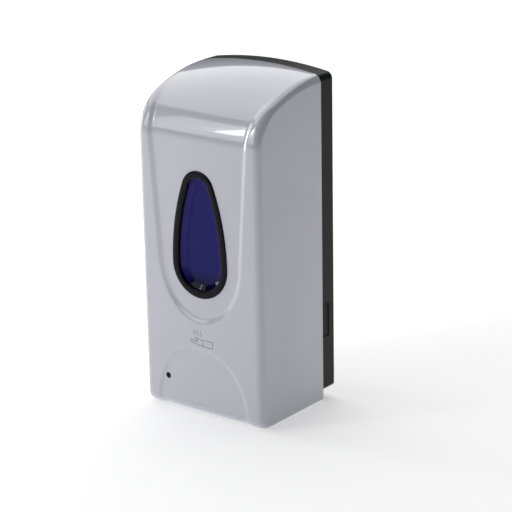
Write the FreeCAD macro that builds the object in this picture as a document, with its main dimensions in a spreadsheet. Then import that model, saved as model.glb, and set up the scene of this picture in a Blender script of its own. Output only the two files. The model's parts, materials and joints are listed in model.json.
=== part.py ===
import FreeCAD, Part
import math
import os
import re

import Sketcher
from FreeCAD import Placement, Rotation, Vector
from fcgear import fcgear, involute

# Wall mounted automatic soap dispenser.
# X runs to the right, Z up, and the wall is the plane Y = 0 with the room on the -Y side.
# "Reach" is a distance out from the wall, so a reach of 80 is the plane Y = -80.
# Heights are measured from the lower rim of the front cover. The origin is the centre of the
# four wall screws, so every sub-part is lowered by mount_height when it is placed.

DIMENSIONS = (
    # outside of the casing
    ("width", 115), ("height", 265), ("plate_depth", 14.5), ("cover_depth", 78),
    ("arch_drop", 5), ("crown", 1.3), ("shoulder_height", 216), ("shoulder_radius", 35),
    ("edge_radius", 5.5), ("foot_radius", 9), ("wall", 3), ("foot_lip", 12),
    ("plate_rise", 8.5), ("plate_corner", 3.5), ("plate_floor", 3), ("clearance", 0.6),
    ("lip_width", 1.5), ("lip_reach", 3), ("mount_height", 150),
    ("wall_hole_across", 60), ("wall_hole_up", 150), ("wall_hole_radius", 2.5),
    ("wall_pad_radius", 7), ("wall_pad_rise", 1.2),
    # U shaped recess, arched foot recess, window and light of the cover
    ("recess_depth", 1.65), ("recess_half", 38.5), ("recess_bottom", 78), ("recess_waist", 128),
    ("recess_round", 32), ("recess_flare", 46.5), ("recess_top", 270),
    ("arch_depth", 0.8), ("arch_half", 43), ("arch_top", 54), ("arch_shoulder", 34),
    ("window_low", 122), ("window_high", 180), ("window_low_radius", 26),
    ("window_high_radius", 15.5), ("bezel_width", 5.5), ("bezel_raise", 1.05),
    ("sleeve_inset", 2.6), ("sleeve_reach", 90.3), ("fit", 0.1),
    ("lens_flange", 3), ("lens_back", 86.5), ("lens_floor", 1.5), ("lens_inset", 6.5),
    ("light_across", 34.5), ("light_up", 26.3), ("light_radius", 2.4), ("light_flange", 3.6),
    ("light_inner", 88), ("light_front", 92.9),
    # hinge of the cover, along the foot of the casing
    ("hinge_reach", 16.5), ("hinge_up", 5), ("knuckle_radius", 3.2), ("lug_inner", 38),
    ("lug_outer", 44), ("ear_inner", 44.5), ("pin_inner", 37), ("pin_outer", 50.5),
    ("pin_radius", 1.5), ("running", 0.05),
    # side release latches
    ("slot_low", 53), ("slot_high", 80), ("slot_depth", 8), ("latch_play", 0.5),
    ("latch_face", 56.9), ("latch_shoulder", 52.3), ("latch_back", 50.3), ("latch_spread", 2),
    ("nose_low", 62), ("nose_high", 71), ("nose_inner", 50.8), ("nose_outer", 52),
    ("nose_reach", 23), ("keeper_inner", 53), ("keeper_near", 18.2), ("keeper_far", 20.2),
    # tank and its refill lid
    ("tank_half", 50), ("tank_near", 10), ("tank_far", 80), ("tank_low", 88),
    ("tank_high", 216), ("tank_wall", 1.5), ("tank_round", 6), ("port_half", 23),
    ("port_near", 27), ("port_far", 53), ("collar_wall", 2), ("collar_high", 218.2),
    ("lid_half", 27), ("lid_near", 22.6), ("lid_far", 57), ("lid_low", 219.4),
    ("lid_thick", 2), ("lid_hinge_reach", 20.5), ("lid_hinge_up", 221), ("lid_knuckle", 2.6),
    ("lid_knuckle_half", 17.6), ("lid_ear_in", 18), ("lid_ear_out", 22), ("lid_pin", 1.2),
    ("ear_in", 38), ("ear_out", 50), ("ear_high", 229), ("ear_far", 13), ("tank_boss_x", 44),
    ("tank_boss_up", 223), ("spigot_radius", 3.5), ("spigot_bore", 1.8), ("spigot_low", 72),
    ("spigot_flange", 7), ("strainer_radius", 5), ("strainer_high", 96), ("seal_thick", 1),
    # chassis
    ("chassis_half", 47), ("web_near", 18), ("web_far", 20.5), ("chassis_low", 8),
    ("sheet_wall", 2), ("chassis_far", 80), ("boss_radius", 4), ("boss_across", 42),
    ("boss_low", 18), ("boss_high", 78), ("screw_radius", 1.25), ("screw_hole", 1.3),
    ("screw_pass", 1.7), ("head_radius", 3), ("head_thick", 2), ("drive_width", 0.8),
    ("panel_far", 82.5), ("panel_screw_x", 43.3), ("panel_screw_low", 12.5),
    ("panel_screw_high", 82), ("post_radius", 3.4), ("post_near", 66),
    # battery bay
    ("battery_x", 29.5), ("cell_radius", 7), ("cell_pitch", 15), ("cell_low", 20.5),
    ("cell_near", 24), ("cell_far", 74.5), ("bay_half", 15.5), ("bay_low", 12.5),
    ("bay_high", 43.5), ("door_half", 15), ("door_low", 11.5), ("door_high", 45.5),
    ("door_near", 82.7), ("door_far", 84.7), ("rail_gap", 0.3), ("rail_wall", 1.6),
    ("rail_far", 86.6), ("rail_low", 10), ("rail_high", 78), ("contact_thick", 0.6),
    ("button_radius", 2.7), ("button_rise", 1.2),
    # pump head
    ("pump_x", 26), ("pump_up", 40), ("pump_half", 18), ("pump_near", 57), ("pump_far", 76),
    ("pump_floor", 2), ("track_radius", 16), ("tube_outer", 15.9), ("tube_inner", 13.6),
    ("tube_near", 64), ("tube_far", 70), ("pump_lid_far", 78), ("shaft_radius", 2),
    ("flange_radius", 12.6), ("flange_thick", 1.5), ("flange_near", 60), ("flange_far", 73.5),
    ("roller_orbit", 10.2), ("roller_radius", 3.2), ("roller_gap", 0.2), ("roller_pin", 1),
    ("pump_screw_x", 15.6), ("pump_screw_up", 17.6), ("pillar_radius", 2.3),
    ("foot_rib", 4), ("foot_rib_far", 71),
    # gear train and motor
    ("module", 0.6), ("small_teeth", 14), ("large_teeth", 42), ("centre_play", 0.2),
    ("train_near", 48.5), ("train_mid", 52.2), ("train_far", 56), ("gear_plate_near", 46),
    ("gear_plate_far", 48), ("gear_plate_half", 18.5), ("gear_plate_high", 73),
    ("idler_pin", 1.5), ("motor_radius", 10), ("motor_flat", 15), ("motor_near", 21),
    ("motor_shaft", 1), ("motor_boss", 3), ("rotor_gear_near", 52.8),
    # soap path
    ("pipe_radius", 2.5), ("pipe_bore", 1.5), ("pipe_bend", 6.5), ("pipe_reach", 67),
    ("nozzle_radius", 5), ("nozzle_flange", 6.5), ("nozzle_high", 14), ("nozzle_low", 4.5),
    ("tip_radius", 3.4), ("tip_low", 1.2),
    # sensor
    ("sensor_half", 12), ("sensor_near", 73.8), ("sensor_far", 79), ("sensor_low", 7.2),
    ("sensor_board", 15), ("board_thick", 1.6), ("emitter_x", 7), ("emitter_radius", 1.5),
    # electronics and controls
    ("board_left", 2), ("board_right", 43), ("board_low", 49), ("board_high", 84),
    ("board_near", 24), ("spacer_radius", 2.5), ("switch_x", 4), ("switch_up", 72),
    ("switch_half", 7), ("switch_deep", 74), ("slide_half", 1.5), ("slide_travel", 4),
    ("slide_far", 85), ("dial_x", 28), ("dial_up", 72), ("dial_radius", 6.5),
    ("dial_body", 7), ("dial_deep", 73), ("dial_near", 82.8), ("dial_far", 87.2),
    ("lamp_radius", 1.5), ("lamp_far", 86.5),
    # screw lengths under the head
    ("pump_screw", 29), ("board_screw", 4.5), ("chassis_screw", 13), ("panel_screw", 8),
    ("tank_screw", 9),
    # smaller details
    ("emitter_gap", 0.8), ("emitter_rim", 0.4), ("pane_side", 2.1), ("pane_end", 1.1),
    ("stage_gap", 0.4), ("pressure_angle", 20), ("addendum", 0.85), ("dedendum", 1.1),
    ("strainer_wall", 0.8), ("strainer_slot", 0.5), ("contact_half", 5), ("contact_end", 4.5),
    ("arm_half", 1), ("arm_drop", 1.5), ("rib_half", 8), ("rib_rise", 0.8), ("rib_drop", 5),
    ("rib_pitch", 2.4), ("grip_half", 8), ("pump_lid_half", 20), ("nozzle_rim", 1.5), ("slit_half", 1.2),
    ("slit_thin", 0.15), ("board_inset", 5), ("capacitor_radius", 3), ("capacitor_long", 11),
    ("capacitor_pitch", 7.5), ("switch_rise", 3.2), ("well_half", 4), ("well_deep", 3.4),
    ("well_rise", 1.6), ("stem_deep", 3.2), ("stem_rise", 1.1), ("cap_rim", 0.7),
    ("cap_gap", 0.2), ("cap_rise", 2), ("pointer_half", 0.5), ("pointer_deep", 0.6),
)

doc = FreeCAD.newDocument("soap_dispenser")
sheet = doc.addObject("Spreadsheet::Sheet", "dims")
for row, (alias, value) in enumerate(DIMENSIONS, start=1):
    sheet.set("A%d" % row, alias)
    sheet.set("B%d" % row, str(value))
    sheet.setAlias("B%d" % row, alias)
doc.recompute()
ALIASES = {alias for alias, value in DIMENSIONS}
kept = []
lifts = {}


# ---------------------------------------------------------------- expressions

def bound(text):
    """Spell an expression of plain names as one that reads the spreadsheet."""
    def cell(match):
        word = match.group()
        return "dims." + word if word in ALIASES else word
    return re.sub(r"[A-Za-z_]\w*", cell, str(text))


def number(text):
    """Value of an expression, used to start a sketch close to its solution."""
    return float(sheet.evalExpression(bound(text)))


def bind(item, path, text):
    item.setExpression(path, bound(text))


def minus(text):
    return "-(%s)" % text


# ---------------------------------------------------------------- primitives

def box(name, across, reach, up):
    """Box between two X values, two reaches and two heights."""
    item = doc.addObject("Part::Box", name)
    bind(item, "Length", "(%s) - (%s)" % (across[1], across[0]))
    bind(item, "Width", "(%s) - (%s)" % (reach[1], reach[0]))
    bind(item, "Height", "(%s) - (%s)" % (up[1], up[0]))
    bind(item, "Placement.Base.x", across[0])
    bind(item, "Placement.Base.y", minus(reach[1]))
    bind(item, "Placement.Base.z", up[0])
    lifts[item.Name] = up[0]
    return item


TURNS = {"x": Rotation(Vector(0, 1, 0), 90), "y": Rotation(Vector(1, 0, 0), 90), "z": Rotation()}


def rod(name, axis, radius, span, x=0, reach=0, up=0):
    """Cylinder along X, along the reach (Y) or along Z, between the two ends in span."""
    item = doc.addObject("Part::Cylinder", name)
    bind(item, "Radius", radius)
    bind(item, "Height", "(%s) - (%s)" % (span[1], span[0]))
    item.Placement = Placement(Vector(), TURNS[axis])
    x = span[0] if axis == "x" else x
    reach = span[0] if axis == "y" else reach
    up = span[0] if axis == "z" else up
    bind(item, "Placement.Base.x", x)
    bind(item, "Placement.Base.y", minus(reach))
    bind(item, "Placement.Base.z", up)
    lifts[item.Name] = up
    return item


def joined(name, *items, refine=True):
    item = doc.addObject("Part::MultiFuse", name)
    item.Shapes = list(items)
    item.Refine = refine
    return item


def cut(name, base, *tools, refine=True):
    item = doc.addObject("Part::Cut", name)
    item.Base = base
    item.Tool = tools[0] if len(tools) == 1 else joined(name + "_tools", *tools, refine=refine)
    item.Refine = refine
    return item


def common(name, first, second):
    item = doc.addObject("Part::Common", name)
    item.Base = first
    item.Tool = second
    return item


def group(name, *items):
    """Several separate solids that are one sub-part, such as a set of screws."""
    item = doc.addObject("Part::Compound", name)
    item.Links = list(items)
    return item


def keep(node, item):
    """Name a finished sub-part and lower it so that the wall screws surround the origin."""
    item.Label = node
    bind(item, "Placement.Base.z", "(%s) - mount_height" % lifts.get(item.Name, 0))
    kept.append(item)
    return item


def mirrored_x(text, side):
    return text if side > 0 else minus(text)


def span_x(low, high, side):
    """X range on the right (side 1) or on the left (side -1)."""
    return (low, high) if side > 0 else (minus(high), minus(low))


# ---------------------------------------------------------------- sketches and bodies

def body(name):
    return doc.addObject("PartDesign::Body", name)


def sketch_on(owner, name, plane, offset):
    """Sketch on an origin plane: XZ faces the room and its offset is a reach."""
    sketch = owner.newObject("Sketcher::SketchObject", name)
    planes = {item.Role: item for item in owner.Origin.OriginFeatures}
    sketch.AttachmentSupport = [(planes[plane], "")]
    sketch.MapMode = "FlatFace"
    bind(sketch, "AttachmentOffset.Base.z", offset)
    return sketch


def fix(sketch, kind, geometry, vertex, text):
    """Dimension from the sketch origin to a point, driven by an expression."""
    index = sketch.addConstraint(Sketcher.Constraint(kind, -1, 1, geometry, vertex, number(text)))
    bind(sketch, "Constraints[%d]" % index, text)


def arc_edge(start, end, centre, turn):
    """Arc from start to end, and which of its own two ends the path enters by."""
    first = math.atan2(start.y - centre.y, start.x - centre.x)
    last = math.atan2(end.y - centre.y, end.x - centre.x)
    if turn < 0:
        first, last = last, first
    while last <= first:
        last += 2 * math.pi
    circle = Part.Circle(centre, Vector(0, 0, 1), (start - centre).Length)
    return Part.ArcOfCircle(circle, first, last), (1, 2) if turn > 0 else (2, 1)


def draw(sketch, start, steps, closed=True):
    """Draw a path of ("line", x, y) and ("arc", x, y, centre x, centre y, turn) steps."""
    stops = [start] + [step[1:3] for step in steps]
    places = [Vector(number(x), number(y), 0) for x, y in stops]
    edges = []
    for index, step in enumerate(steps):
        if step[0] == "line":
            geometry = Part.LineSegment(places[index], places[index + 1])
            ends = (1, 2)
        else:
            centre = Vector(number(step[3]), number(step[4]), 0)
            geometry, ends = arc_edge(places[index], places[index + 1], centre, step[5])
        edges.append((sketch.addGeometry(geometry, False), ends))
    for index, step in enumerate(steps):
        edge, ends = edges[index]
        fix(sketch, "DistanceX", edge, ends[0], stops[index][0])
        fix(sketch, "DistanceY", edge, ends[0], stops[index][1])
        if index + 1 < len(steps) or closed:
            following, entry = edges[(index + 1) % len(steps)]
            sketch.addConstraint(Sketcher.Constraint("Coincident", edge, ends[1], following, entry[0]))
        else:
            fix(sketch, "DistanceX", edge, ends[1], stops[-1][0])
            fix(sketch, "DistanceY", edge, ends[1], stops[-1][1])
        if step[0] == "arc":
            chord = places[index + 1] - places[index]
            if abs(chord.x) > abs(chord.y):
                fix(sketch, "DistanceY", edge, 3, step[4])
            else:
                fix(sketch, "DistanceX", edge, 3, step[3])
    return sketch


def pad(owner, sketch, length):
    feature = owner.newObject("PartDesign::Pad", sketch.Name + "_pad")
    feature.Profile = sketch
    bind(feature, "Length", length)
    return feature


def pocket(owner, sketch, length):
    feature = owner.newObject("PartDesign::Pocket", sketch.Name + "_pocket")
    feature.Profile = sketch
    bind(feature, "Length", length)
    return feature


def slab(name, reach, start, steps):
    """Body with one outline facing the room, padded between two reaches."""
    owner = body(name)
    sketch = draw(sketch_on(owner, name + "_outline", "XZ_Plane", reach[0]), start, steps)
    pad(owner, sketch, "(%s) - (%s)" % (reach[1], reach[0]))
    return owner


# ---------------------------------------------------------------- outlines

def side_profile(inset_front, inset_top, inset_shoulder, crown, drop, floor):
    """Side of the casing in the YZ plane: foot, straight front, shoulder and domed top."""
    seam = "-plate_depth"
    depth = "(cover_depth + %s - (%s))" % (crown, inset_front)
    top = "(height - %s - (%s))" % (drop, inset_top)
    rise = "(%s - shoulder_height)" % top
    small = "(shoulder_radius - (%s))" % inset_shoulder
    large = "(((%s - %s)^2 + %s^2 - %s^2) / (2 * (%s - %s)))" % (depth, small, rise, small, rise, small)
    front = "(%s - %s)" % (seam, depth)
    meet_y = "%s - %s * (%s - %s) / (%s - %s)" % (seam, large, depth, small, large, small)
    meet_z = "%s - %s + %s * (%s - %s) / (%s - %s)" % (top, large, large, large, rise, large, small)
    foot = "(foot_radius - (%s))" % inset_front
    start = (seam, floor)
    steps = [
        ("line", "%s + %s" % (front, foot), floor),
        ("arc", front, "%s + %s" % (floor, foot), "%s + %s" % (front, foot),
         "%s + %s" % (floor, foot), -1),
        ("line", front, "shoulder_height"),
        ("arc", meet_y, meet_z, "%s + %s" % (front, small), "shoulder_height", -1),
        ("arc", seam, top, seam, "%s - %s" % (top, large), -1),
        ("line", seam, floor),
    ]
    return start, steps


def lofted(name, half, inset_front, inset_top, inset_shoulder, floor="0"):
    """Crowned block under the casing skin, lofted through two side profiles and a middle one."""
    owner = body(name)
    sections = []
    for place, x, crown, drop in (("right", half, "0", "arch_drop"),
                                  ("middle", "0", "crown", "0"),
                                  ("left", minus(half), "0", "arch_drop")):
        sketch = sketch_on(owner, "%s_%s" % (name, place), "YZ_Plane", x)
        outline = side_profile(inset_front, inset_top, inset_shoulder, crown, drop, floor)
        sections.append(draw(sketch, *outline))
    loft = owner.newObject("PartDesign::AdditiveLoft", name + "_loft")
    loft.Profile = sections[0]
    loft.Sections = sections[1:]
    return owner


def plate_outline(inset, corner, shoulder, arch_half="(width / 2 - wall)"):
    """Outline of the wall plate, with its arched top, set in by a distance."""
    side = "(width / 2 - (%s))" % inset
    low = "(plate_rise + %s)" % inset
    bend = "((%s^2 + arch_drop^2) / (2 * arch_drop))" % arch_half
    centre_up = "(height - (%s) - %s)" % (inset, bend)
    inner_side = "(%s - %s)" % (side, shoulder)
    inner_bend = "(%s - %s)" % (bend, shoulder)
    rise = "sqrt(%s^2 - %s^2)" % (inner_bend, inner_side)
    round_up = "(%s + %s)" % (centre_up, rise)
    meet_x = "(%s * %s / %s)" % (inner_side, bend, inner_bend)
    meet_z = "(%s + %s * %s / %s)" % (centre_up, rise, bend, inner_bend)
    start = (minus("%s - %s" % (side, corner)), low)
    steps = [
        ("line", "%s - %s" % (side, corner), low),
        ("arc", side, "%s + %s" % (low, corner), "%s - %s" % (side, corner),
         "%s + %s" % (low, corner), 1),
        ("line", side, round_up),
        ("arc", meet_x, meet_z, inner_side, round_up, 1),
        ("arc", minus(meet_x), meet_z, "0", centre_up, 1),
        ("arc", minus(side), round_up, minus(inner_side), round_up, 1),
        ("line", minus(side), "%s + %s" % (low, corner)),
        ("arc", minus("%s - %s" % (side, corner)), low, minus("%s - %s" % (side, corner)),
         "%s + %s" % (low, corner), 1),
    ]
    return start, steps


def teardrop(offset):
    """Window outline: a large round end below, a small one above and two long side arcs."""
    span = "(window_high - window_low)"
    bend = ("((%s^2 + window_low_radius^2 - window_high_radius^2)"
            " / (2 * (window_low_radius - window_high_radius)))" % span)
    arm = "(%s - window_low_radius)" % bend
    reach = "(%s - window_high_radius)" % bend
    meet_x = "(%s * (%s + %s) / %s - %s)" % (arm, bend, offset, reach, arm)
    meet_z = "(window_low + %s * (%s + %s) / %s)" % (span, bend, offset, reach)
    low = "(window_low_radius + %s)" % offset
    start = (minus(low), "window_low")
    steps = [
        ("arc", low, "window_low", "0", "window_low", 1),
        ("arc", meet_x, meet_z, minus(arm), "window_low", 1),
        ("arc", minus(meet_x), meet_z, "0", "window_high", 1),
        ("arc", minus(low), "window_low", arm, "window_low", 1),
    ]
    return start, steps


def recess_outline():
    """U shaped recess: an oval bottom and two sides that lean apart up to the dome."""
    lift = "(recess_waist - recess_bottom)"
    bend = ("((recess_half^2 + (%s - recess_round)^2 - recess_round^2)"
            " / (2 * (recess_half - recess_round)))" % lift)
    away = "(%s - recess_half)" % bend
    ratio = "(recess_round / (%s - recess_round))" % bend
    middle = "(recess_bottom + recess_round)"
    meet_x = "(%s * %s)" % (away, ratio)
    meet_z = "(%s - (recess_waist - %s) * %s)" % (middle, middle, ratio)
    start = (minus("recess_flare"), "recess_top")
    steps = [
        ("line", minus("recess_half"), "recess_waist"),
        ("arc", minus(meet_x), meet_z, away, "recess_waist", 1),
        ("arc", meet_x, meet_z, "0", middle, 1),
        ("arc", "recess_half", "recess_waist", minus(away), "recess_waist", 1),
        ("line", "recess_flare", "recess_top"),
        ("line", minus("recess_flare"), "recess_top"),
    ]
    return start, steps


def arch_outline():
    """Arched recess at the foot of the cover."""
    rise = "(arch_top - arch_shoulder)"
    bend = "((arch_half^2 + %s^2) / (2 * %s))" % (rise, rise)
    start = (minus("arch_half"), "-1")
    steps = [
        ("line", "arch_half", "-1"),
        ("line", "arch_half", "arch_shoulder"),
        ("arc", minus("arch_half"), "arch_shoulder", "0", "arch_top - %s" % bend, 1),
        ("line", minus("arch_half"), "-1"),
    ]
    return start, steps


# ---------------------------------------------------------------- small repeated pieces

def screw(name, x, up, head_near, length):
    """Pan head screw that points at the wall: head, shank and a cross drive."""
    head_far = "%s + head_thick" % head_near
    head = rod(name + "_head", "y", "head_radius", (head_near, head_far), x=x, up=up)
    shank_span = ("%s - (%s)" % (head_near, length), head_near)
    shank = rod(name + "_shank", "y", "screw_radius", shank_span, x=x, up=up)
    drive = ("%s + head_thick / 2" % head_near, "%s + head_thick + 1" % head_near)
    half = "head_radius * 0.6"
    thin = "drive_width / 2"
    across = box(name + "_across", ("%s - %s" % (x, half), "%s + %s" % (x, half)), drive,
                 ("%s - %s" % (up, thin), "%s + %s" % (up, thin)))
    upright = box(name + "_upright", ("%s - %s" % (x, thin), "%s + %s" % (x, thin)), drive,
                  ("%s - %s" % (up, half), "%s + %s" % (up, half)))
    return cut(name, joined(name + "_solid", head, shank), across, upright)


def four(offset_x, low, high):
    """Four corner positions, the same distance either side of the middle."""
    return [(x, up) for up in (low, high) for x in (minus(offset_x), offset_x)]


# ---------------------------------------------------------------- wall plate

SIDES = (("left", -1), ("right", 1))
PLATE_LIP = "(wall + clearance)"
PLATE_INNER = "(wall + clearance + lip_width)"


def make_rear_plate():
    """Tray against the wall with a locating lip, screw posts and hinge lugs."""
    owner = body("rear_plate_tray")
    outer = sketch_on(owner, "plate_outline", "XZ_Plane", "0")
    rim = plate_outline("0", "plate_corner", "edge_radius", "(width / 2)")
    pad(owner, draw(outer, *rim), "plate_depth")
    lip = sketch_on(owner, "plate_lip", "XZ_Plane", "plate_depth")
    pad(owner, draw(lip, *plate_outline(PLATE_LIP, "plate_corner / 2", "edge_radius / 2")), "lip_reach")
    well = sketch_on(owner, "plate_well", "XZ_Plane", "plate_depth + lip_reach")
    pocket(owner, draw(well, *plate_outline(PLATE_INNER, "plate_corner / 2", "edge_radius / 2")),
           "plate_depth + lip_reach - plate_floor")
    solids = [owner]
    holes = []
    wall_rows = ("mount_height - wall_hole_up / 2", "mount_height + wall_hole_up / 2")
    for index, (x, up) in enumerate(four("wall_hole_across / 2", *wall_rows)):
        solids.append(rod("wall_pad_%d" % index, "y", "wall_pad_radius",
                          ("0", "plate_floor + wall_pad_rise"), x=x, up=up))
        holes.append(rod("wall_hole_%d" % index, "y", "wall_hole_radius",
                         ("-1", "plate_depth"), x=x, up=up))
    for index, (x, up) in enumerate(four("boss_across", "boss_low", "boss_high")):
        solids.append(rod("boss_%d" % index, "y", "boss_radius", ("1", "web_near"), x=x, up=up))
        holes.append(rod("boss_hole_%d" % index, "y", "screw_hole",
                         ("plate_floor", "web_near + 1"), x=x, up=up))
    for name, side in SIDES:
        x = mirrored_x("tank_boss_x", side)
        solids.append(rod("tank_post_" + name, "y", "boss_radius", ("1", "tank_near"),
                          x=x, up="tank_boss_up"))
        holes.append(rod("tank_post_hole_" + name, "y", "screw_hole",
                         ("plate_floor", "tank_near + 1"), x=x, up="tank_boss_up"))
        lug_x = span_x("lug_inner", "lug_outer", side)
        solids.append(rod("lug_eye_" + name, "x", "knuckle_radius", lug_x,
                          reach="hinge_reach", up="hinge_up"))
        solids.append(box("lug_web_" + name, lug_x, ("plate_depth - 6", "hinge_reach"),
                          ("hinge_up - knuckle_radius", "plate_rise + 3")))
        holes.append(rod("lug_hole_" + name, "x", "pin_radius",
                         span_x("lug_inner - 1", "lug_outer + 1", side),
                         reach="hinge_reach", up="hinge_up"))
        outside = span_x("width / 2 - 8", "width / 2 + 1", side)
        holes.append(box("latch_slot_" + name, outside,
                         ("plate_depth - slot_depth", "plate_depth + lip_reach + 1"),
                         ("slot_low", "slot_high")))
        holes.append(box("lip_notch_" + name, span_x("nose_inner - 1", "width / 2 - wall", side),
                         ("plate_depth", "plate_depth + lip_reach + 1"),
                         ("slot_low - 3", "slot_high + 3")))
    keep("rear_plate", cut("rear_plate", joined("plate_solids", *solids), *holes))


# ---------------------------------------------------------------- front cover

def skin_tool(name, outline, depth):
    """What lies between the skin and a surface sunk below it, inside an outline."""
    column = slab(name + "_column", ("plate_depth + 20", "plate_depth + cover_depth + 5"), *outline)
    core = lofted(name + "_core", "width / 2 + 1", depth, "0", "0", floor="-2")
    return cut(name, column, core)


def edges_to_round(shape):
    """Edges of the two flat sides that follow the front, the shoulder and the dome."""
    names = []
    half = number("width / 2")
    seam = -number("plate_depth")
    for index, edge in enumerate(shape.Edges, start=1):
        on_side = all(abs(abs(vertex.X) - half) < 0.01 for vertex in edge.Vertexes)
        same_side = len({vertex.X > 0 for vertex in edge.Vertexes}) == 1
        at_seam = all(abs(vertex.Y - seam) < 0.01 for vertex in edge.Vertexes)
        at_foot = all(abs(vertex.Z) < 0.01 for vertex in edge.Vertexes)
        if on_side and same_side and not at_seam and not at_foot:
            names.append("Edge%d" % index)
    return names


def make_front_cover():
    """Crowned shell, open to the wall plate, with a lip along its front foot."""
    owner = lofted("cover_block", "width / 2", "0", "0", "0")
    doc.recompute()
    block = owner.Tip
    rounding = owner.newObject("PartDesign::Fillet", "cover_rounding")
    rounding.Base = (block, edges_to_round(block.Shape))
    bind(rounding, "Radius", "edge_radius")
    hollow = lofted("cover_hollow", "width / 2 - wall", "wall", "wall", "wall", floor="wall")
    sides = "width / 2 - wall"
    mouth = box("cover_mouth", (minus(sides), sides), ("plate_depth - 1", "plate_depth + 1"),
                ("-1", "height - arch_drop - wall - 0.5"))
    foot = box("cover_foot_opening", (minus(sides), sides),
               ("plate_depth - 1", "plate_depth + cover_depth - foot_lip"), ("-1", "wall + 1"))
    seat = slab("window_seat", ("sleeve_reach + 1.1", "plate_depth + cover_depth + 5"),
                *teardrop("fit"))
    hole = slab("window_hole", ("sleeve_reach - 8", "plate_depth + cover_depth + 5"),
                *teardrop("fit - sleeve_inset"))
    light = rod("light_hole", "y", "light_radius + running",
                ("light_inner - 5", "light_front + 5"), x=minus("light_across"), up="light_up")
    recess = skin_tool("recess", recess_outline(), "recess_depth")
    arch = skin_tool("foot_arch", arch_outline(), "arch_depth")
    shell = cut("cover_shell", owner, hollow, mouth, foot, seat, hole, light, recess, arch,
                refine=False)
    solids = [shell]
    for name, side in SIDES:
        ear_x = span_x("ear_inner", "width / 2 - wall / 2", side)
        ear = rod("ear_" + name, "x", "knuckle_radius", ear_x, reach="hinge_reach", up="hinge_up")
        bore = rod("ear_hole_" + name, "x", "pin_radius + running",
                   span_x("ear_inner - 1", "pin_outer + 0.3", side),
                   reach="hinge_reach", up="hinge_up")
        solids.append(cut("ear_tube_" + name, ear, bore))
        solids.append(box("keeper_" + name, span_x("keeper_inner", "width / 2 - wall / 2", side),
                          ("keeper_near", "keeper_far"), ("nose_low - 1", "nose_high + 1")))
    keep("front_cover", joined("front_cover", *solids, refine=False))


def make_window():
    """Raised ring and the clear pan behind it through which the tank is seen."""
    ring = slab("bezel_ring", ("sleeve_reach + 1.2", "sleeve_reach + 1.2 + bezel_raise + 0.6"),
                *teardrop("0"))
    sleeve = slab("bezel_sleeve", ("sleeve_reach", "sleeve_reach + 1.2"),
                  *teardrop(minus("sleeve_inset")))
    opening = slab("bezel_opening", ("sleeve_reach - 1", "sleeve_reach + 5"),
                   *teardrop(minus("bezel_width")))
    keep("window_bezel", cut("window_bezel", joined("bezel_solid", ring, sleeve), opening))
    owner = body("window_lens")
    plate = sketch_on(owner, "lens_outline", "XZ_Plane", "lens_back")
    pad(owner, draw(plate, *teardrop("lens_flange")), "sleeve_reach - lens_back")
    pan = sketch_on(owner, "lens_pan", "XZ_Plane", "sleeve_reach")
    pocket(owner, draw(pan, *teardrop(minus("lens_inset"))), "sleeve_reach - lens_back - lens_floor")
    keep("window_lens", owner)
    guide = rod("light_guide", "y", "light_radius", ("light_inner", "light_front"),
                x=minus("light_across"), up="light_up")
    flange = rod("light_guide_flange", "y", "light_flange", ("light_inner", "light_inner + 1"),
                 x=minus("light_across"), up="light_up")
    keep("status_light_guide", joined("status_light_guide", guide, flange))


def make_hinge_and_latches():
    pins = [rod("hinge_pin_" + name, "x", "pin_radius", span_x("pin_inner", "pin_outer", side),
                reach="hinge_reach", up="hinge_up") for name, side in SIDES]
    keep("hinge_pins", group("hinge_pins", *pins))
    play = "latch_play"
    for name, side in SIDES:
        button = box("button_" + name, span_x("latch_shoulder", "latch_face", side),
                     ("plate_depth - slot_depth + %s" % play, "plate_depth - %s" % play),
                     ("slot_low + %s" % play, "slot_high - %s" % play))
        flange = box("button_flange_" + name, span_x("latch_back", "latch_shoulder", side),
                     ("plate_depth - slot_depth - latch_spread", "plate_depth - %s" % play),
                     ("slot_low - latch_spread", "slot_high + latch_spread"))
        nose = box("nose_" + name, span_x("nose_inner", "nose_outer", side),
                   ("plate_depth - 1", "nose_reach"), ("nose_low", "nose_high"))
        hook = box("hook_" + name, span_x("nose_outer", "keeper_inner - rail_gap", side),
                   ("keeper_far + 0.5", "nose_reach"), ("nose_low", "nose_high"))
        keep("%s_latch" % name, joined("%s_latch" % name, button, flange, nose, hook))


# ---------------------------------------------------------------- tank

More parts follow.
